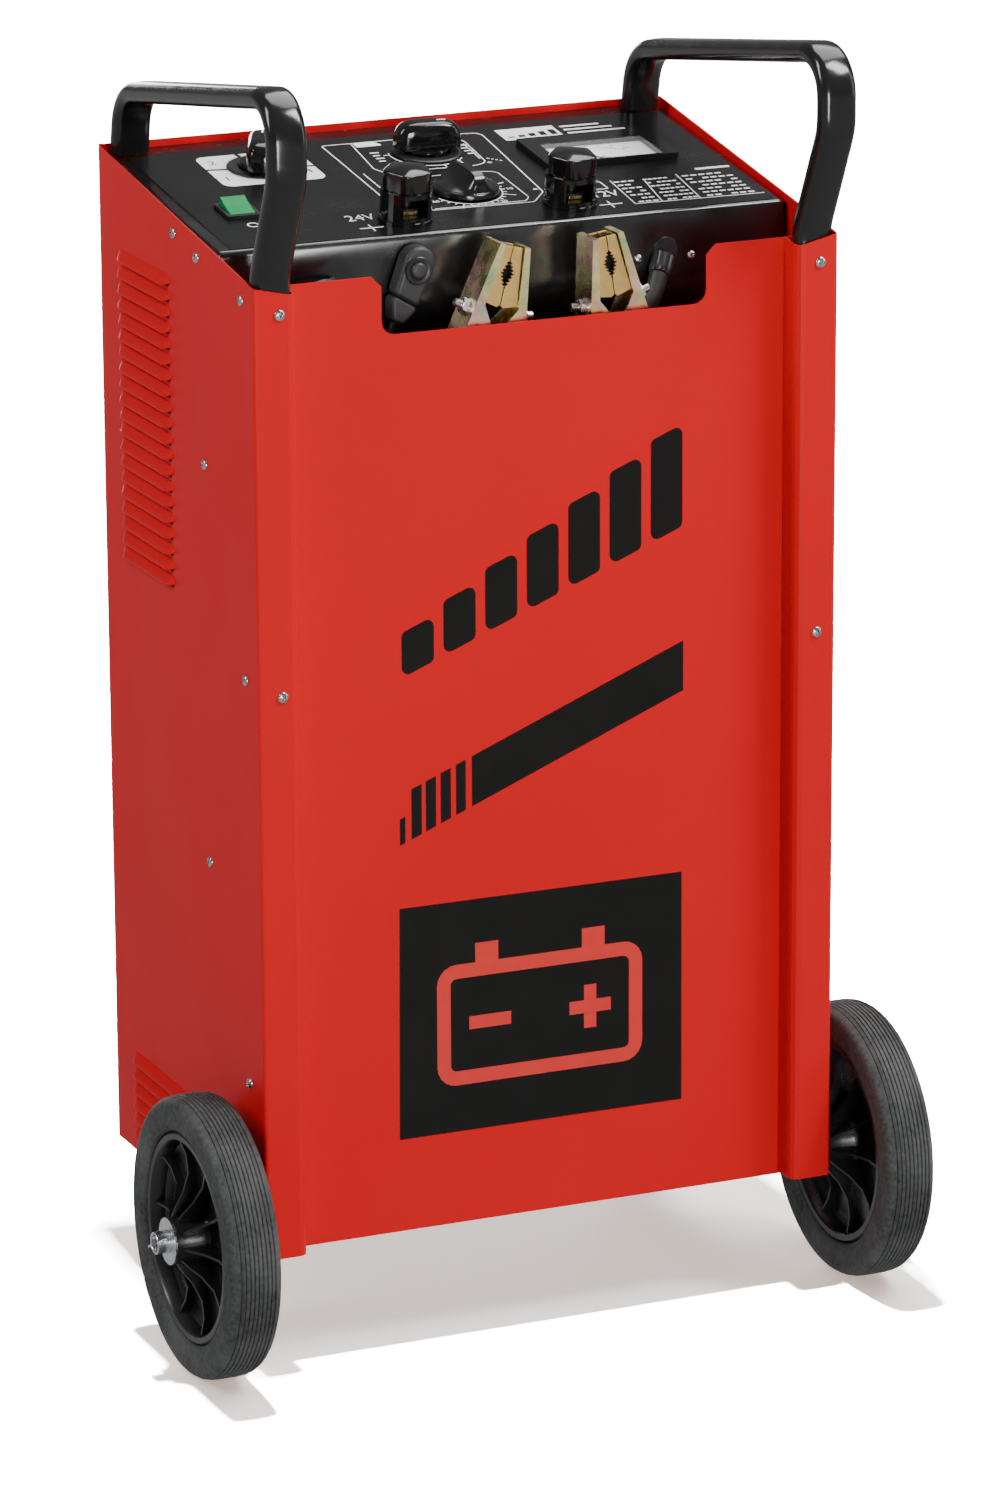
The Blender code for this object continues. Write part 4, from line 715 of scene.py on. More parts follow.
def console_print():
    film = rounded(rectangle(-0.252, 0.0035, 0.26, 0.2535), [0.0015, 0.006, 0.006, 0.0015], 5)
    finish_piece("console_film", add_prism(bmesh.new(), film, "Z", FILM_LOW, FILM_HIGH), "film",
                 place=CONSOLE)
    white, black = bmesh.new(), bmesh.new()

    def line(points, width=0.0011, closed=False):
        add_strip(white, points, width, FILM_HIGH, WHITE_HIGH, closed)

    def over(points, width):
        add_strip(black, points, width, WHITE_HIGH, BLACK_HIGH)

    def patch(outline):
        add_prism(white, outline, "Z", FILM_HIGH, WHITE_HIGH)

    def number(text, spot, size, widen=1.0):
        add_text(white, text, spot, size, FILM_HIGH, WHITE_HIGH, widen)

    # charge selector: white plate in four sectors
    cx, cs = CHARGE_SELECTOR
    patch(rounded(rectangle(cx - 0.048, cs - 0.0395, cx + 0.048, cs + 0.0395), [0.009] * 4, 5))
    for dx, ds in ((-0.048, 0.006), (-0.008, 0.0395), (0.048, -0.006), (0.008, -0.0395)):
        over([(cx, cs), (cx + dx, cs + ds)], 0.004)
    for text, dx, ds in (("1", -0.0385, -0.02), ("2", -0.037, 0.022), ("3", 0.037, 0.024),
                         ("4", 0.0385, -0.018)):
        add_text(black, text, (cx + dx, cs + ds), 0.015, WHITE_HIGH, BLACK_HIGH)
    for i in range(5):
        line([(cx - 0.012 + i * 0.006, cs - 0.046), (cx - 0.0085 + i * 0.006, cs - 0.046)], 0.003)

    # rocker marks
    rx, rs = ROCKER
    line(arc((rx + 0.001, rs - 0.0345), 0.0048, 0, 345, 24), 0.0014, closed=True)
    line([(rx - 0.002, rs + 0.0265), (rx - 0.002, rs + 0.031)], 0.0018)

    # boost selector: double frame, white tab and rows of marks
    outer = [(-0.0748, 0.235), (-0.0748, 0.0955), (-0.0456, 0.052), (0.05, 0.05),
             (0.0678, 0.0723), (0.0771, 0.2283), (0.0728, 0.2335), (0.0619, 0.235)]
    line(rounded(outer, [0.003, 0.008, 0.006, 0.006, 0.008, 0.002, 0.002, 0.002]), closed=True)
    line([(-0.067, 0.156), (-0.067, 0.118)])
    inner = [(-0.047, 0.235), (-0.053, 0.167), (-0.048, 0.154), (0.0388, 0.1524),
             (0.048, 0.1566), (0.0514, 0.1624), (0.0516, 0.1703), (0.0543, 0.2153), (0.05, 0.224)]
    line(rounded(inner, [0, 0.006, 0.005, 0.003, 0.003, 0.003, 0.003, 0.003, 0]))
    line([(0.0509, 0.2094), (0.0493, 0.1682)])
    dash_from, dash_to = Vector((0.0556, 0.1679)), Vector((0.0674, 0.1569))
    for k in range(4):
        line([tuple(dash_from.lerp(dash_to, share / 4)) for share in (k, k + 0.55)], 0.0013)
    tab = [(-0.0455, 0.2235), (-0.0205, 0.2235), (-0.0255, 0.2345), (-0.0455, 0.2345)]
    patch(rounded(tab, [0.002] * 4, 3))
    bx, bs = BOOST_SELECTOR
    scale = (bx - 0.002, bs - 0.0022)
    line(arc(scale, 0.033, 165, 325, 30), 0.0012)
    for i in range(5):
        line([polar(scale, reach, 175 + i * 34) for reach in (0.033, 0.0385)], 0.0012)
    for i, width in enumerate((0.0085, 0.0065, 0.008, 0.006)):
        s = bs + 0.01 - i * 0.0075
        for x in (bx - 0.05, bx + 0.0345):
            line([(x, s), (x + width, s)], 0.0022)
    number("+", (bx - 0.04, bs - 0.033), 0.01)
    number("+", (bx + 0.044, bs - 0.04), 0.01)

    # timer scale with numbers
    line(arc(TIMER, 0.0322, -160, 45, 44), 0.001)
    for i in range(16):
        end = 0.044 if i in (0, 4, 12) else 0.0362
        line([polar(TIMER, reach, 18.6 - i * 11.2) for reach in (0.0322, end)], 0.0012)
    for angle, text in ((-152, "60"), (-100, "40"), (-56, "20"), (-4, "10"), (32, "5")):
        number(text, (polar(TIMER, 0.0405, angle)[0], polar(TIMER, 0.0385, angle)[1]), 0.0068)
    lower = [(-0.0456, 0.1357), (0.0367, 0.1357), (0.0461, 0.1333), (0.0495, 0.1284), (0.0498, 0.0624),
             (0.044, 0.0545), (-0.042, 0.0545)]
    line(rounded(lower, [0, 0.003, 0.002, 0.003, 0.006, 0.004, 0]), 0.0009)
    patch([(0.0612, 0.079), (0.0664, 0.079), (0.0638, 0.083)])

    # terminals
    number("24V", (-0.114, 0.0497), 0.02, 0.84)
    number("12V", (0.118, 0.0525), 0.02, 0.84)
    for px, ps in ((-0.114, 0.0236), (0.112, 0.0266)):
        line([(px - 0.011, ps), (px + 0.011, ps)], 0.0014)
        line([(px, ps - 0.008), (px, ps + 0.008)], 0.0014)

    # table of marks at the right-hand front
    x0, x1 = 0.135, 0.257
    line([(0.137, 0.0835), (0.1336, 0.0223), (x1, 0.0205)], 0.0009)
    line([(0.167, 0.0756), (0.1595, 0.0227)], 0.0009)
    line([(0.2012, 0.0851), (0.1958, 0.0204)], 0.0009)
    for row in range(7):
        s = 0.079 - row * 0.0088
        for share0, share1, marks in ((0.03, 0.2, 3), (0.26, 0.5, 6), (0.57, 0.96, 6)):
            a = x0 + (x1 - x0) * share0
            step = (x1 - x0) * (share1 - share0) / marks
            for k in range(marks):
                if (row * 5 + k * 3 + marks) % 7:
                    line([(a + k * step, s), (a + (k + 0.72) * step, s)], 0.0024)
    line([(0.224, 0.0935), (x1, 0.0935)], 0.004)
    sign = [(0.111, 0.0655), (0.127, 0.0655), (0.127, 0.0827), (0.119, 0.0918), (0.111, 0.0827)]
    line(rounded(sign, [0.001] * 5, 2), closed=True)

    # plain badge behind the meter
    left, near, right = 0.092, 0.207, 0.148
    patch(rectangle(left, near, right, 0.236))
    for i in range(5):
        x = left + 0.008 + i * 0.0105
        over([(x, near + 0.006), (x, near + 0.009 + i * 0.0026)], 0.0065)
    for i in range(3):
        s = near + 0.006 + i * 0.009
        line([(right + 0.006, s), (right + 0.062 - i * 0.009, s)], 0.0032)
    finish_piece("console_print_white", white, "white_ink", place=CONSOLE)
    finish_piece("console_print_black", black, "black_ink", place=CONSOLE)


# ---- controls -----------------------------------------------------------------------------
def on_console(spot, degrees=0.0):
    return CONSOLE @ shift(*spot, 0) @ rotate(degrees, "Z")


def domed_bar(bm, half_length, half_width, low, high):
    """A grip bar that is domed all round above a crisp lower edge."""
    around, up = 72, 18
    side_power, dome_power, rise_power = 0.55, 0.44, 0.66

    def squared(value):
        return math.copysign(abs(value) ** side_power, value)

    rows = []
    for k in range(up):
        rise = math.radians(90 * k / up)
        share = math.cos(rise) ** dome_power
        z = low + (high - low) * math.sin(rise) ** rise_power
        row = []
        for i in range(around):
            angle = 2 * math.pi * i / around
            row.append(bm.verts.new((half_length * share * squared(math.cos(angle)),
                                     half_width * share * squared(math.sin(angle)), z)))
        rows.append(row)
    skin(bm, rows)
    crown = bm.verts.new((0, 0, high))
    for a, b in zip(rows[-1], rows[-1][1:] + rows[-1][:1]):
        bm.faces.new((a, b, crown))
    bm.faces.new(list(reversed(rows[0])))


def selector_knob(name, spot, flange_r, pointing):
    start = FILM_TOP + FLANGE_HEIGHT + GAP
    top = 0.0304
    place = on_console(spot, pointing)
    skirt = [(0, start), (0.019, start), (0.0195, start + 0.0008), (0.0195, start + 0.0026),
             (0.0185, start + 0.0042), (0, start + 0.0044)]
    bm = add_turned(bmesh.new(), skirt, 56)
    domed_bar(bm, 0.0304, 0.0131, start + 0.0036, top)
    finish_piece(name + "_knob_shape", bm, "gloss", name, place, 50, replaces=[name + "_knob"])
    bm = add_box(bmesh.new(), (0.008, -0.0008, top - 0.0006), (0.016, 0.0008, top + 0.00005))
    finish_piece(name + "_pointer", bm, "white_ink", name, place)
    low, r = FILM_TOP, flange_r
    flange = [(0, low), (r - 0.0002, low), (r, low + 0.0004), (r - 0.0004, low + 0.0011),
              (r - 0.0022, low + 0.0019), (r - 0.007, low + 0.002), (r - 0.0078, low + 0.0016),
              (r - 0.009, low + 0.002), (0, low + FLANGE_HEIGHT)]
    finish_piece(name + "_flange", add_turned(bmesh.new(), flange, 64), "gloss", place=on_console(spot),
                 angle=30)
    dress(name + "_switch", "satin", 0.0, 2)


def timer_surface(x, y, start):
    """Height of the timer knob's upper side: a rim, a bell-shaped skirt and a bar along X."""
    radius = math.hypot(x, y)
    if radius > TIMER_BELL_R:
        rim = (radius - TIMER_BELL_R) / (TIMER_R - TIMER_BELL_R)
        skirt = start + 0.005 - 0.0012 * rim ** 2
    else:
        skirt = start + 0.0056 + 0.0058 * (1 - (radius / TIMER_BELL_R) ** 2) ** 1.3
    reach = min(1.0, abs(x) / 0.0266)
    crest = skirt + (0.0243 - skirt) * (1 - reach ** 5) ** 0.5
    beside = max(0.0, abs(y) - 0.0045) / 0.0135
    return skirt + (crest - skirt) * max(0.0, 1 - beside) ** 2.6


def timer_knob():
    start = FILM_TOP + TIMER_PLATE_HEIGHT + GAP
    place = on_console(TIMER, 96)
    bm = bmesh.new()
    marks = [0.0, 0.0015, 0.003, 0.004, 0.0045, 0.005, 0.0056, 0.0063, 0.0072, 0.0082, 0.0094, 0.0108,
             0.0124, 0.0142, 0.0162, 0.0184, 0.0206, 0.0226, 0.0244, 0.0259, 0.0268, 0.0275, 0.0282,
             0.0287, 0.02899]
    rows = []
    for y in [-y for y in reversed(marks[1:])] + marks:
        half = math.sqrt(TIMER_R ** 2 - y ** 2)
        across = [half * math.sin(math.pi / 2 * (k / 32 - 1)) for k in range(65)]
        rows.append([bm.verts.new((x, y, timer_surface(x, y, start))) for x in across])
    skin(bm, rows, loop=False)
    rim = [e for e in bm.edges if e.is_boundary]
    for part in bmesh.ops.extrude_edge_only(bm, edges=rim)["geom"]:
        if isinstance(part, bmesh.types.BMVert):
            part.co.z = start
    bmesh.ops.recalc_face_normals(bm, faces=bm.faces)
    finish_piece("timer_knob_shape", bm, "handle", "timer", place, 50, replaces=["timer_knob"])
    bm = add_box(bmesh.new(), (0.008, -0.0007, 0.0238), (0.017, 0.0007, 0.0244))
    finish_piece("timer_pointer", bm, "white_ink", "timer", place)
    dress("timer_body", "satin", 0.0, 2)


def scalloped(bm, radius, depth, ridges, levels, place=Matrix.Identity(4)):
    """A body with concave flutes between sharp ridges; a level is (height, scale, flute share)."""
    count = ridges * 14
    rings = []
    for z, scale, share in levels:
        ring = []
        for i in range(count):
            angle = 2 * math.pi * i / count
            r = (radius - depth * share * abs(math.cos(ridges * angle / 2)) ** 1.2) * scale
            ring.append(bm.verts.new(place @ Vector((r * math.cos(angle), r * math.sin(angle), z))))
        rings.append(ring)
    skin(bm, rings)
    bm.faces.new(rings[-1])
    bm.faces.new(list(reversed(rings[0])))


def terminal(volts):
    place = on_console(TERMINALS[volts])
    bottom, top = 0.0285, 0.0483
    bm = bmesh.new()
    levels = [(bottom, 0.94, 0.6), (bottom + 0.0005, 0.975, 0.9), (bottom + 0.0012, 0.985, 1.0)]
    levels += [(top - drop, scale, share) for drop, scale, share in (
        (0.0041, 1.0, 1.0), (0.0035, 0.995, 1.0), (0.0031, 0.985, 1.0), (0.0028, 0.968, 1.0),
        (0.0026, 0.948, 1.0), (0.0021, 0.86, 1.0), (0.00145, 0.71, 0.8), (0.0009, 0.55, 0.5),
        (0.0004, 0.38, 0.2), (0.0001, 0.2, 0.0), (0.0, 0.02, 0.0))]
    scalloped(bm, 0.022, 0.0031, 5, levels, rotate(66.5, "Z"))
    boss = [(0.0054, 0.0236), (0.0108, 0.0236), (0.0115, 0.0243), (0.0115, 0.0292), (0.0054, 0.0292)]
    add_turned(bm, boss, 40)
    finish_piece(f"screw_knob_{volts}_shape", bm, "gloss", f"screw_knob_{volts}", place, 40,
                 replaces=[f"terminal_knob_{volts}"])
    dress(f"terminal_base_{volts}", "gloss", 0.0007, 3)
    bm = add_prism(bmesh.new(), arc((0, 0), 0.0124, 0, 300, 5), "Z", 0.0073, 0.0104)
    finish_piece(f"terminal_nut_{volts}", bm, "brass", place=place, bevel=0.0004,
                 replaces=[f"terminal_stud_{volts}"])
    shank = [(0, 0.0104), (0.0115, 0.0104), (0.0115, 0.0126), (0.011, 0.013), (0.0048, 0.013),
             (0.0048, 0.0378), (0, 0.0378)]
    finish_piece(f"terminal_shank_{volts}", add_turned(bmesh.new(), shank, 32), "satin", place=place)


def ammeter():
    dress("ammeter_case", "handle", 0.0012, 3)
    dress("ammeter_lens", "glass", 0.0003, 1)
    dress("ammeter_needle", "satin", 0.0001, 1)
    place = on_console(AMMETER)
    half_x, half_y, middle = 0.0492, 0.0242, -0.008
    low, high = 0.00085, 0.00093
    bm = add_box(bmesh.new(), (-half_x, middle - half_y, 0.00052), (half_x, middle + half_y, low))
    finish_piece("dial_plate", bm, "dial", place=place)
    bm = bmesh.new()
    pivot, scale_r, text_r = (0.0, middle - 0.0185), 0.0335, 0.0405
    add_strip(bm, arc(pivot, scale_r, 42, 138, 40), 0.0006, low, high)
    for i in range(26):
        reach, width = (0.0375, 0.0006) if i % 5 == 0 else (0.0355, 0.0004)
        add_strip(bm, [polar(pivot, r, 135 - i * 3.6) for r in (scale_r, reach)], width, low, high)
    for i, text in enumerate(("0", "20", "40", "60", "80", "100")):
        add_text(bm, text, polar(pivot, text_r, 135 - i * 18), 0.004, low, high)
    add_text(bm, "A", (0.0, middle - 0.008), 0.0075, low, high)
    finish_piece("dial_scale", bm, "black_ink", place=place)
    hub = [(0, 0.0009), (0.0042, 0.0009), (0.004, 0.0012), (0.003, 0.00115), (0, 0.0011)]
    finish_piece("dial_hub", add_turned(bmesh.new(), hub, 28, place=shift(*pivot, 0)), "zinc",
                 place=place)


def cable_grommet():
    """Round flange with a ribbed sleeve round the heavy cable."""
    place = CASING @ shift(CABLE_HOLE[0], FOLD_Y, CABLE_HOLE[1])
    flange = [(0, -0.0003), (0.0118, -0.0003), (0.012, -0.0007), (0.0118, -0.0016), (0.0112, -0.0022),
              (0, -0.0024)]
    bm = add_turned(bmesh.new(), flange, 48, "Y", place)
    along = CABLE_EXIT.to_track_quat("Z", "Y").to_matrix().to_4x4()
    levels = [(0.006, 1.0, 1.0), (0.018, 1.0, 1.0), (SLEEVE_REACH - 0.0012, 0.98, 1.0),
              (SLEEVE_REACH, 0.9, 1.0)]
    scalloped(bm, SLEEVE_R, 0.0012, 13, levels, place @ along)
    finish_piece("grommet_boot", bm, "satin", place=Matrix.Identity(4), angle=40,
                 replaces=["cable_grommet"])


# ---- clamps -------------------------------------------------------------------------------
def toothed_insert():
    """Outline of one contact with its row of teeth round the hollow for the battery post."""
    seam, teeth = -0.0004, 8
    row_start, row_length, hollow_depth, tooth = 0.05, 0.025, 0.0064, 0.0028
    half_row = row_length / 2

    def hollow(z):
        share = abs(z - row_start - half_row) / half_row
        return seam - hollow_depth * (1 - share) ** 0.65 if share < 1 else seam

    points = [(-0.0158, 0.036), (-0.003, 0.033), (seam, 0.035), (seam, row_start)]
    for i in range(teeth):
        root = row_start + row_length * i / teeth + 0.0004
        tip = row_start + row_length * (i + 0.55) / teeth
        points += [(hollow(root), root), (min(seam, hollow(tip) + tooth), tip)]
    return points + [(seam, row_start + row_length), (seam, 0.0865), (-0.0088, 0.0865)]


def add_bolt(bm, place):
    """Hexagon nut on a round bolt end with a washer below."""
    across, head, shank, reach, washer = 0.0068, 0.0056, 0.0036, 0.0118, 0.001
    add_turned(bm, [(0, 0), (across * 1.25, 0), (across * 1.25, washer), (0, washer)], 32, place=place)
    add_prism(bm, arc((0, 0), across, 0, 300, 5), "Z", washer, head - 0.0007, place)
    add_turned(bm, [(0, head - 0.0007), (across * 0.86, head - 0.0007), (across * 0.7, head),
                    (shank, head), (shank, reach - 0.0008), (shank - 0.0008, reach), (0, reach)],
               32, place=place)


def clamp(name):
    at, lean = CLAMPS[name]
    place = CASING @ shift(*at) @ rotate(lean, "Y")
    inner = CLAMP_DEPTH - 2 * CLAMP_STEEL - 2 * GAP
    contact = inner / 2 - CLAMP_STEEL - GAP
    contact_thick, shade_sheet_half = 0.004, 0.0006
    # Painted shade: a thin black sheet between the front and back contact plates, seen through the hollow
    # between the teeth so that the hollow looks shaded.
    shade_sheet = [(-0.015, 0.037), (-0.0006, 0.035), (-0.0006, 0.0855), (-0.0086, 0.0855)]
    bolt_z, spread_at_tip = 0.028, 0.016
    slant = math.atan2(spread_at_tip, JAW_TIP)
    for label, side, body in (("fixed", 1, "cabinet"), ("moving", -1, f"{name}_jaw")):
        dress(f"{name}_clamp_jaw_{label}", "chromate", 0.0009, 3)
        bm = bmesh.new()
        outline = [(side * x, z) for x, z in toothed_insert()]
        for front, back in ((-contact, -contact + contact_thick), (contact - contact_thick, contact)):
            add_prism(bm, outline, "Y", front, back)
        finish_piece(f"{name}_toothed_insert_{label}", bm, "contact", body, place, 30, 0.0003,
                     replaces=[f"{name}_contact_{label}"])
        # The black sheet between the contact plates is painted shade for the hollow between the teeth.
        bm = add_prism(bmesh.new(), [(side * x, z) for x, z in shade_sheet], "Y", -shade_sheet_half, shade_sheet_half)
        finish_piece(f"{name}_insert_shade_sheet_{label}", bm, "black_sheet", body, place)
        bm = bmesh.new()
        out = Matrix.Rotation(-side * (math.pi / 2 - slant), 4, "Y")
        add_bolt(bm, shift(-(0.031 - spread_at_tip * bolt_z / JAW_TIP) * side, 0, bolt_z) @ out)
        finish_piece(f"{name}_jaw_bolt_{label}", bm, "zinc", body, place, 40)
    dress(f"{name}_clamp_pivot", "zinc", 0.0005, 2)
    clamp_spring(name, place)


def clamp_spring(name, place):
    """Torsion spring on the pivot: the last three quarters of a turn and its leg go with the jaw."""
    turns, steps, coil_r, reach = 4.5, 20, 0.0066, 0.008
    count = int(turns * steps)
    coil = []
    for i in range(count + 1):
        angle = 2 * math.pi * i / steps + math.pi
        coil.append((coil_r * math.cos(angle), -reach + 2 * reach * i / count, coil_r * math.sin(angle)))
    fixed = [(-0.019, -reach, -0.03)] + coil[:count - 10]
    moving = coil[count - 15:] + [(0.019, reach, -0.03)]
    add_wire(f"{name}_spring_fixed", fixed, 0.0009, 3, "zinc", "cabinet", place)
    add_wire(f"{name}_spring_moving", moving, 0.0009, 3, "zinc", f"{name}_jaw", place)


# ---- pendant ------------------------------------------------------------------------------
def pendant():
    place = CASING @ shift(*PENDANT_AT) @ rotate(PENDANT_LEAN, "Y")
    half, narrow, inset = 0.0145, 0.0124, 0.0006
    seam, waist = -0.0265, -0.034
    upper = arc((0, 0.006), half, 0, 180, 24) + [(-narrow, seam), (narrow, seam - 0.0035)]
    finish_piece("pendant_shell", add_prism(bmesh.new(), upper, "Y", 0, PENDANT_THICK), "pendant",
                 place=place, bevel=0.0042, segments=5, replaces=["pendant_body"])
    lower = [(narrow - inset, seam - 0.004), (-narrow + inset, seam - 0.0005),
             (-narrow + inset, waist), (-0.0055, PENDANT_TIP), (0.0055, PENDANT_TIP),
             (narrow - inset, waist)]
    finish_piece("pendant_cap", add_prism(bmesh.new(), lower, "Y", inset, PENDANT_THICK - inset),
                 "pendant", place=place, bevel=0.0034, segments=4)
    ring = [(0.0079, 0.0005), (0.0079, -0.0012), (0.0086, -0.0015), (0.0114, -0.0015),
            (0.0122, -0.0009), (0.0125, 0.0005)]
    finish_piece("pendant_ring", add_turned(bmesh.new(), ring, 48, "Y"), "satin", place=place, angle=30)
    cap = [(0, -0.004), (0.004, -0.0039), (0.0058, -0.0035), (0.0069, -0.0027), (0.0075, -0.0014),
           (0.0075, 0.005), (0, 0.005)]
    finish_piece("pendant_button_cap", add_turned(bmesh.new(), cap, 48, "Y"), "pendant",
                 "start_button", place, 30, replaces=["pendant_button"])


# ---- running gear -------------------------------------------------------------------------
def wheel(side, name):
    middle = (WHEEL_INNER + WHEEL_OUTER) / 2
    half = (WHEEL_OUTER - WHEEL_INNER) / 2
    place = CASING @ shift(side * middle, AXLE_Y, WHEEL_R)
    body = f"wheel_{name}"
    flat, grooves, groove_depth = half - 0.0062, 9, 0.0016
    pitch = 2 * flat / grooves
    tread = []
    for i in range(grooves):
        x = flat - pitch * (i + 0.5)
        outer = WHEEL_R - 0.0022 * (x / flat) ** 4
        steps = ((0.36, 0), (0.17, 0.0003), (0.11, groove_depth))
        tread += [(outer - drop, x + pitch * share) for share, drop in steps]
        tread += [(outer - drop, x - pitch * share) for share, drop in reversed(steps)]
    shoulder = [(WHEEL_R - 0.0024 - 0.0085 * (1 - math.sin(a)), flat + 0.006 * math.cos(a))
                for a in [math.radians(15 * k) for k in range(6)]]
    wall = [(RIM_R + 0.0003, half - 0.0052), (0.0955, half - 0.003), (0.0985, half - 0.0012),
            (0.1035, half - 0.0006), (0.1075, half - 0.001), (0.112, half - 0.0004)]
    flank = wall + shoulder
    profile = flank + tread + [(r, -h) for r, h in reversed(flank)]
    finish_piece(f"tyre_{name}_tread", add_turned(bmesh.new(), profile, 128, "X"), "tyre", body, place,
                 28, replaces=[f"tyre_{name}"])

    rim = RIM_R - 0.0085
    outer_half = [(RIM_R, half - 0.0062), (RIM_R - 0.0022, half - 0.0044), (rim + 0.0014, half - 0.0048),
                  (rim, half - 0.0066), (rim - 0.0022, 0.0062), (rim - 0.0062, 0.0036),
                  (rim - 0.012, 0.003), (0.03, 0.003), (0.0245, 0.0048), (0.0218, 0.009),
                  (0.0206, BOSS_HALF - 0.0007), (0.0199, BOSS_HALF), (0.0109, BOSS_HALF)]
    bm = add_turned(bmesh.new(), mirrored(outer_half), 96, "X")
    ribs, rib_half = 10, 0.0012
    rib = [(0.019, 0.002), (0.086, 0.002), (0.0864, 0.015), (0.072, 0.0104), (0.056, 0.0104),
           (0.04, 0.0172), (0.029, 0.0252), (0.0205, 0.03), (0.019, 0.03)]
    for i in range(ribs):
        stand = (Matrix.Rotation(2 * math.pi * i / ribs + 0.372, 4, "X") @ rotate(-90, "Y")
                 @ Matrix.Diagonal((1, 1, -1, 1)))
        for way in (1, -1):
            add_prism(bm, [(r, way * h) for r, h in rib], "Y", -rib_half, rib_half, stand)
    finish_piece(f"wheel_centre_{name}", bm, "hub", body, place, 30, replaces=[f"wheel_hub_{name}"])

    dress(f"axle_washer_{name}", "zinc", 0.0004, 2)
    leg = 0.0013
    long_leg = [(leg, z) for z in (-0.015, -0.008, 0.0, 0.0105)]
    eye = [polar((0.0, 0.014), 0.003, degrees - 90) for degrees in range(30, 331, 30)]
    short_leg = [(-leg, z) for z in (0.0105, 0.0, -0.011)] + [(-0.0032, -0.014), (-0.0065, -0.0152)]
    add_wire(f"split_pin_{name}", [(x, 0.0, z) for x, z in long_leg + eye + short_leg], 0.0012, 4, "zinc",
             place=CASING @ shift(side * SPLIT_PIN_X, AXLE_Y, WHEEL_R) @ rotate(62, "X"))


def axle():
    bore, edge, plug = 0.0077, 0.0006, 0.014
    end = [(0, AXLE_HALF - plug), (bore, AXLE_HALF - plug), (bore, AXLE_HALF - edge),
           (bore + edge, AXLE_HALF), (AXLE_R - edge, AXLE_HALF), (AXLE_R, AXLE_HALF - edge)]
    finish_piece("axle_tube", add_turned(bmesh.new(), mirrored(end), 48, "X", closed=False), "zinc",
                 place=CASING @ shift(0, AXLE_Y, WHEEL_R), replaces=["axle"])


# ---- handles ------------------------------------------------------------------------------
def handle_path():
    """The grip's centre line in the (depth, height) plane, from the console to the front foot."""
    top_slope, corner_y, bulge_y, crest_y, crest_z = -0.156, 0.1645, -0.2115, -0.1445, 1.1225
    back_y = 0.175
    corners = [(back_y, FOLD_Z + (back_y - FOLD_Y) * CONSOLE_SLOPE + 0.0022),
               (corner_y, crest_z + (corner_y - crest_y) * top_slope),
               (bulge_y, crest_z + (bulge_y - crest_y) * top_slope),
               (bulge_y, 1.066), (HANDLE_FRONT_Y, 0.973), (HANDLE_FRONT_Y, 0.915)]
    path = rounded(corners, [0, 0.045, 0.034, 0.05, 0.05, 0], 18)
    return [Vector((y - HANDLE_FRONT_Y, z)) for y, z in path]


def handle(side, name):
    half, thick = HANDLE_WIDTH / 2, HANDLE_THICK / 2
    edge = thick - 0.001
    corners = [(-half, -edge), (0, -thick), (half, -edge), (half, edge), (0, thick), (-half, edge)]
    section = rounded(corners, [0.0084, 0, 0.0084, 0.0084, 0, 0.0084], 7)
    path = handle_path()
    bm = bmesh.new()
    rows = []
    for here, behind, ahead in zip(path, path[:1] + path, path[1:] + path[-1:]):
        tangent = (ahead - behind).normalized()
        normal = Vector((-tangent.y, tangent.x))
        rows.append([bm.verts.new((across, *(here + normal * lift))) for across, lift in section])
    skin(bm, rows)
    bm.faces.new(rows[0])
    bm.faces.new(rows[-1])
    bmesh.ops.recalc_face_normals(bm, faces=bm.faces)
    place = CASING @ shift(side * HANDLE_X, HANDLE_FRONT_Y, 0) @ rotate(side * HANDLE_TOE_IN, "Z")
    finish_piece(f"{name}_grip", bm, "handle", place=place, angle=30, replaces=[name])


# ---- build --------------------------------------------------------------------------------
LOOKS = make_looks()
add_camera()

lug = dress("positive_lug", "zinc", 0.0004, 2)
add_cable("negative_cable", negative_route(), 0.016, 0.012, far_end="object")
add_cable("positive_cable", positive_route(), 0.016, 0.012, far_end="fitting", with_pieces=[lug])
add_cable("pendant_cable", pendant_route(), 0.0055, 0.007, far_end="object")

for panel in ("side_panel_left", "side_panel_right", "front_panel", "back_panel"):
    dress(panel, "red", 0.0004, 2)
for sheet in ("cable_bin", "chassis_base", "rear_leg_left", "rear_leg_right"):
    dress(sheet, "black_sheet", 0.0004, 2)
for foot in ("rear_foot_left", "rear_foot_right"):
    dress(foot, "tyre", 0.0015, 3)
cable_grommet()
for node, look, bevel, segments in (
        ("mains_gland", "satin", 0.0005, 2), ("transformer_core", "core", 0.0008, 2),
        ("winding_primary", "winding", 0.0015, 3), ("winding_secondary", "winding", 0.0015, 3),
        ("rectifier_heatsink", "aluminium", 0.0003, 1), ("start_contactor", "satin", 0.001, 2),
        ("rocker", "green", 0.0006, 3), ("rocker_bezel", "satin", 0.0006, 3)):
    dress(node, look, bevel, segments)

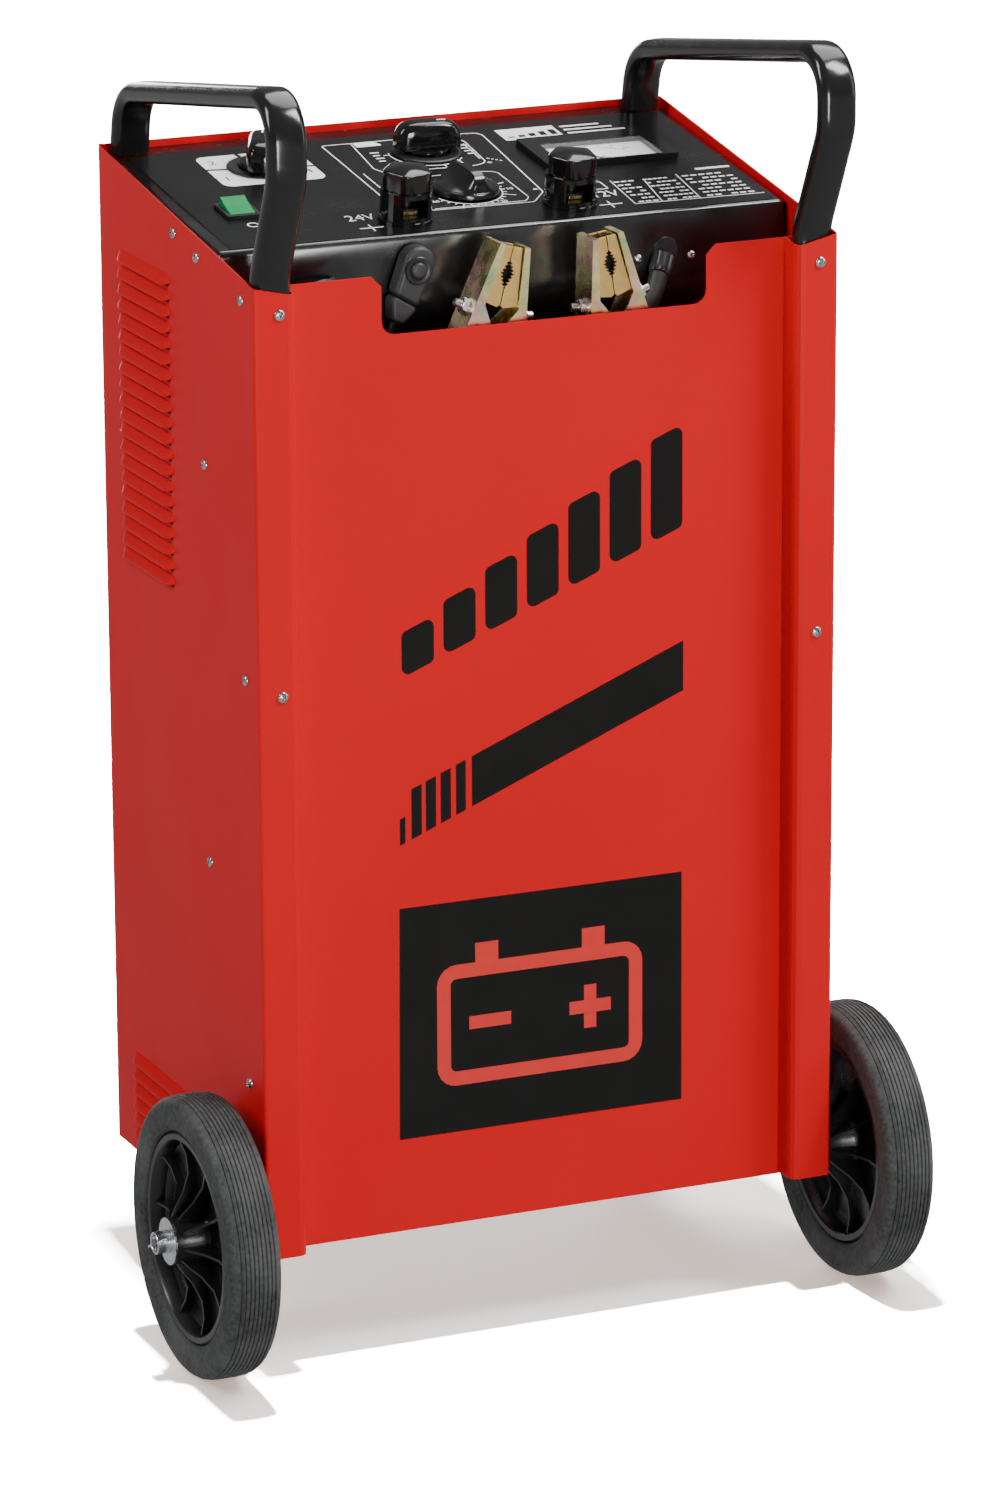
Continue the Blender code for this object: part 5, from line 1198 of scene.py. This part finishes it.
louvre_bank(-1, "louvres_left")
louvre_bank(1, "louvres_right")
screws()
front_graphics()
console_hood()
console_print()
handle(-1, "handle_left")
handle(1, "handle_right")
axle()
wheel(-1, "left")
wheel(1, "right")
selector_knob("charge_selector", CHARGE_SELECTOR, 0.03, 66)
selector_knob("boost_selector", BOOST_SELECTOR, 0.031, -4)
timer_knob()
for volts in TERMINALS:
    terminal(volts)
ammeter()
for clamp_name in CLAMPS:
    clamp(clamp_name)
pendant()

floor_mesh = bmesh.new()
bmesh.ops.create_grid(floor_mesh, x_segments=1, y_segments=1, size=30.0)
floor_data = bpy.data.meshes.new("floor")
floor_mesh.to_mesh(floor_data)
floor_mesh.free()
floor_data.materials.append(LOOKS["floor"].material)
floor = bpy.data.objects.new("floor", floor_data)
bpy.context.scene.collection.objects.link(floor)
floor.visible_diffuse = False
floor.visible_glossy = False
floor_only = bpy.data.collections.new("floor_only")
floor_only.objects.link(floor)

add_light("floor_key", (-0.14, -0.1, 4.6), (-0.14, -0.1, 0.0), (0.35, 0.35), 12000.0, floor_only)
add_light("floor_back", (0.8, 5.7, 1.3), (0.8, 5.7, 0.0), (9.0, 3.6), 2400.0, floor_only)
add_light("overhead", (1.2, 0.8, 3.9), (0.0, 0.0, 0.6), (2.4, 2.4), 110.0)
add_light("top_front", (1.9, -1.6, 3.9), (0.0, 0.0, 0.9), (1.0, 1.6), 150.0)
add_light("front", (-0.6, -4.8, 0.8), (0.0, 0.0, 0.4), (1.3, 1.3), 143.0)
add_light("left", (-3.4, 0.1, 3.1), (0.0, 0.0, 0.5), (0.8, 2.4), 100.0)
add_light("rear", (0.5, 4.5, 0.9), (0.0, 0.0, 0.6), (1.5, 1.5), 70.0)
add_light("right", (3.4, -1.6, 2.0), (0.0, 0.0, 0.6), (0.7, 2.6), 26.0)

world = bpy.data.worlds.new("studio")
world.use_nodes = True
sky = world.node_tree
direction = add_node(sky, "ShaderNodeTexCoord").outputs["Generated"]
height = add_node(sky, "ShaderNodeSeparateXYZ", Vector=direction).outputs["Z"]
glow = add_node(sky, "ShaderNodeMapRange", Value=height, From_Min=-0.12, From_Max=0.02, To_Min=0.5,
                To_Max=0.22).outputs["Result"]
feed(sky, sky.nodes["Background"], Color=(1.0, 1.0, 1.0, 1.0), Strength=glow)
bpy.context.scene.world = world
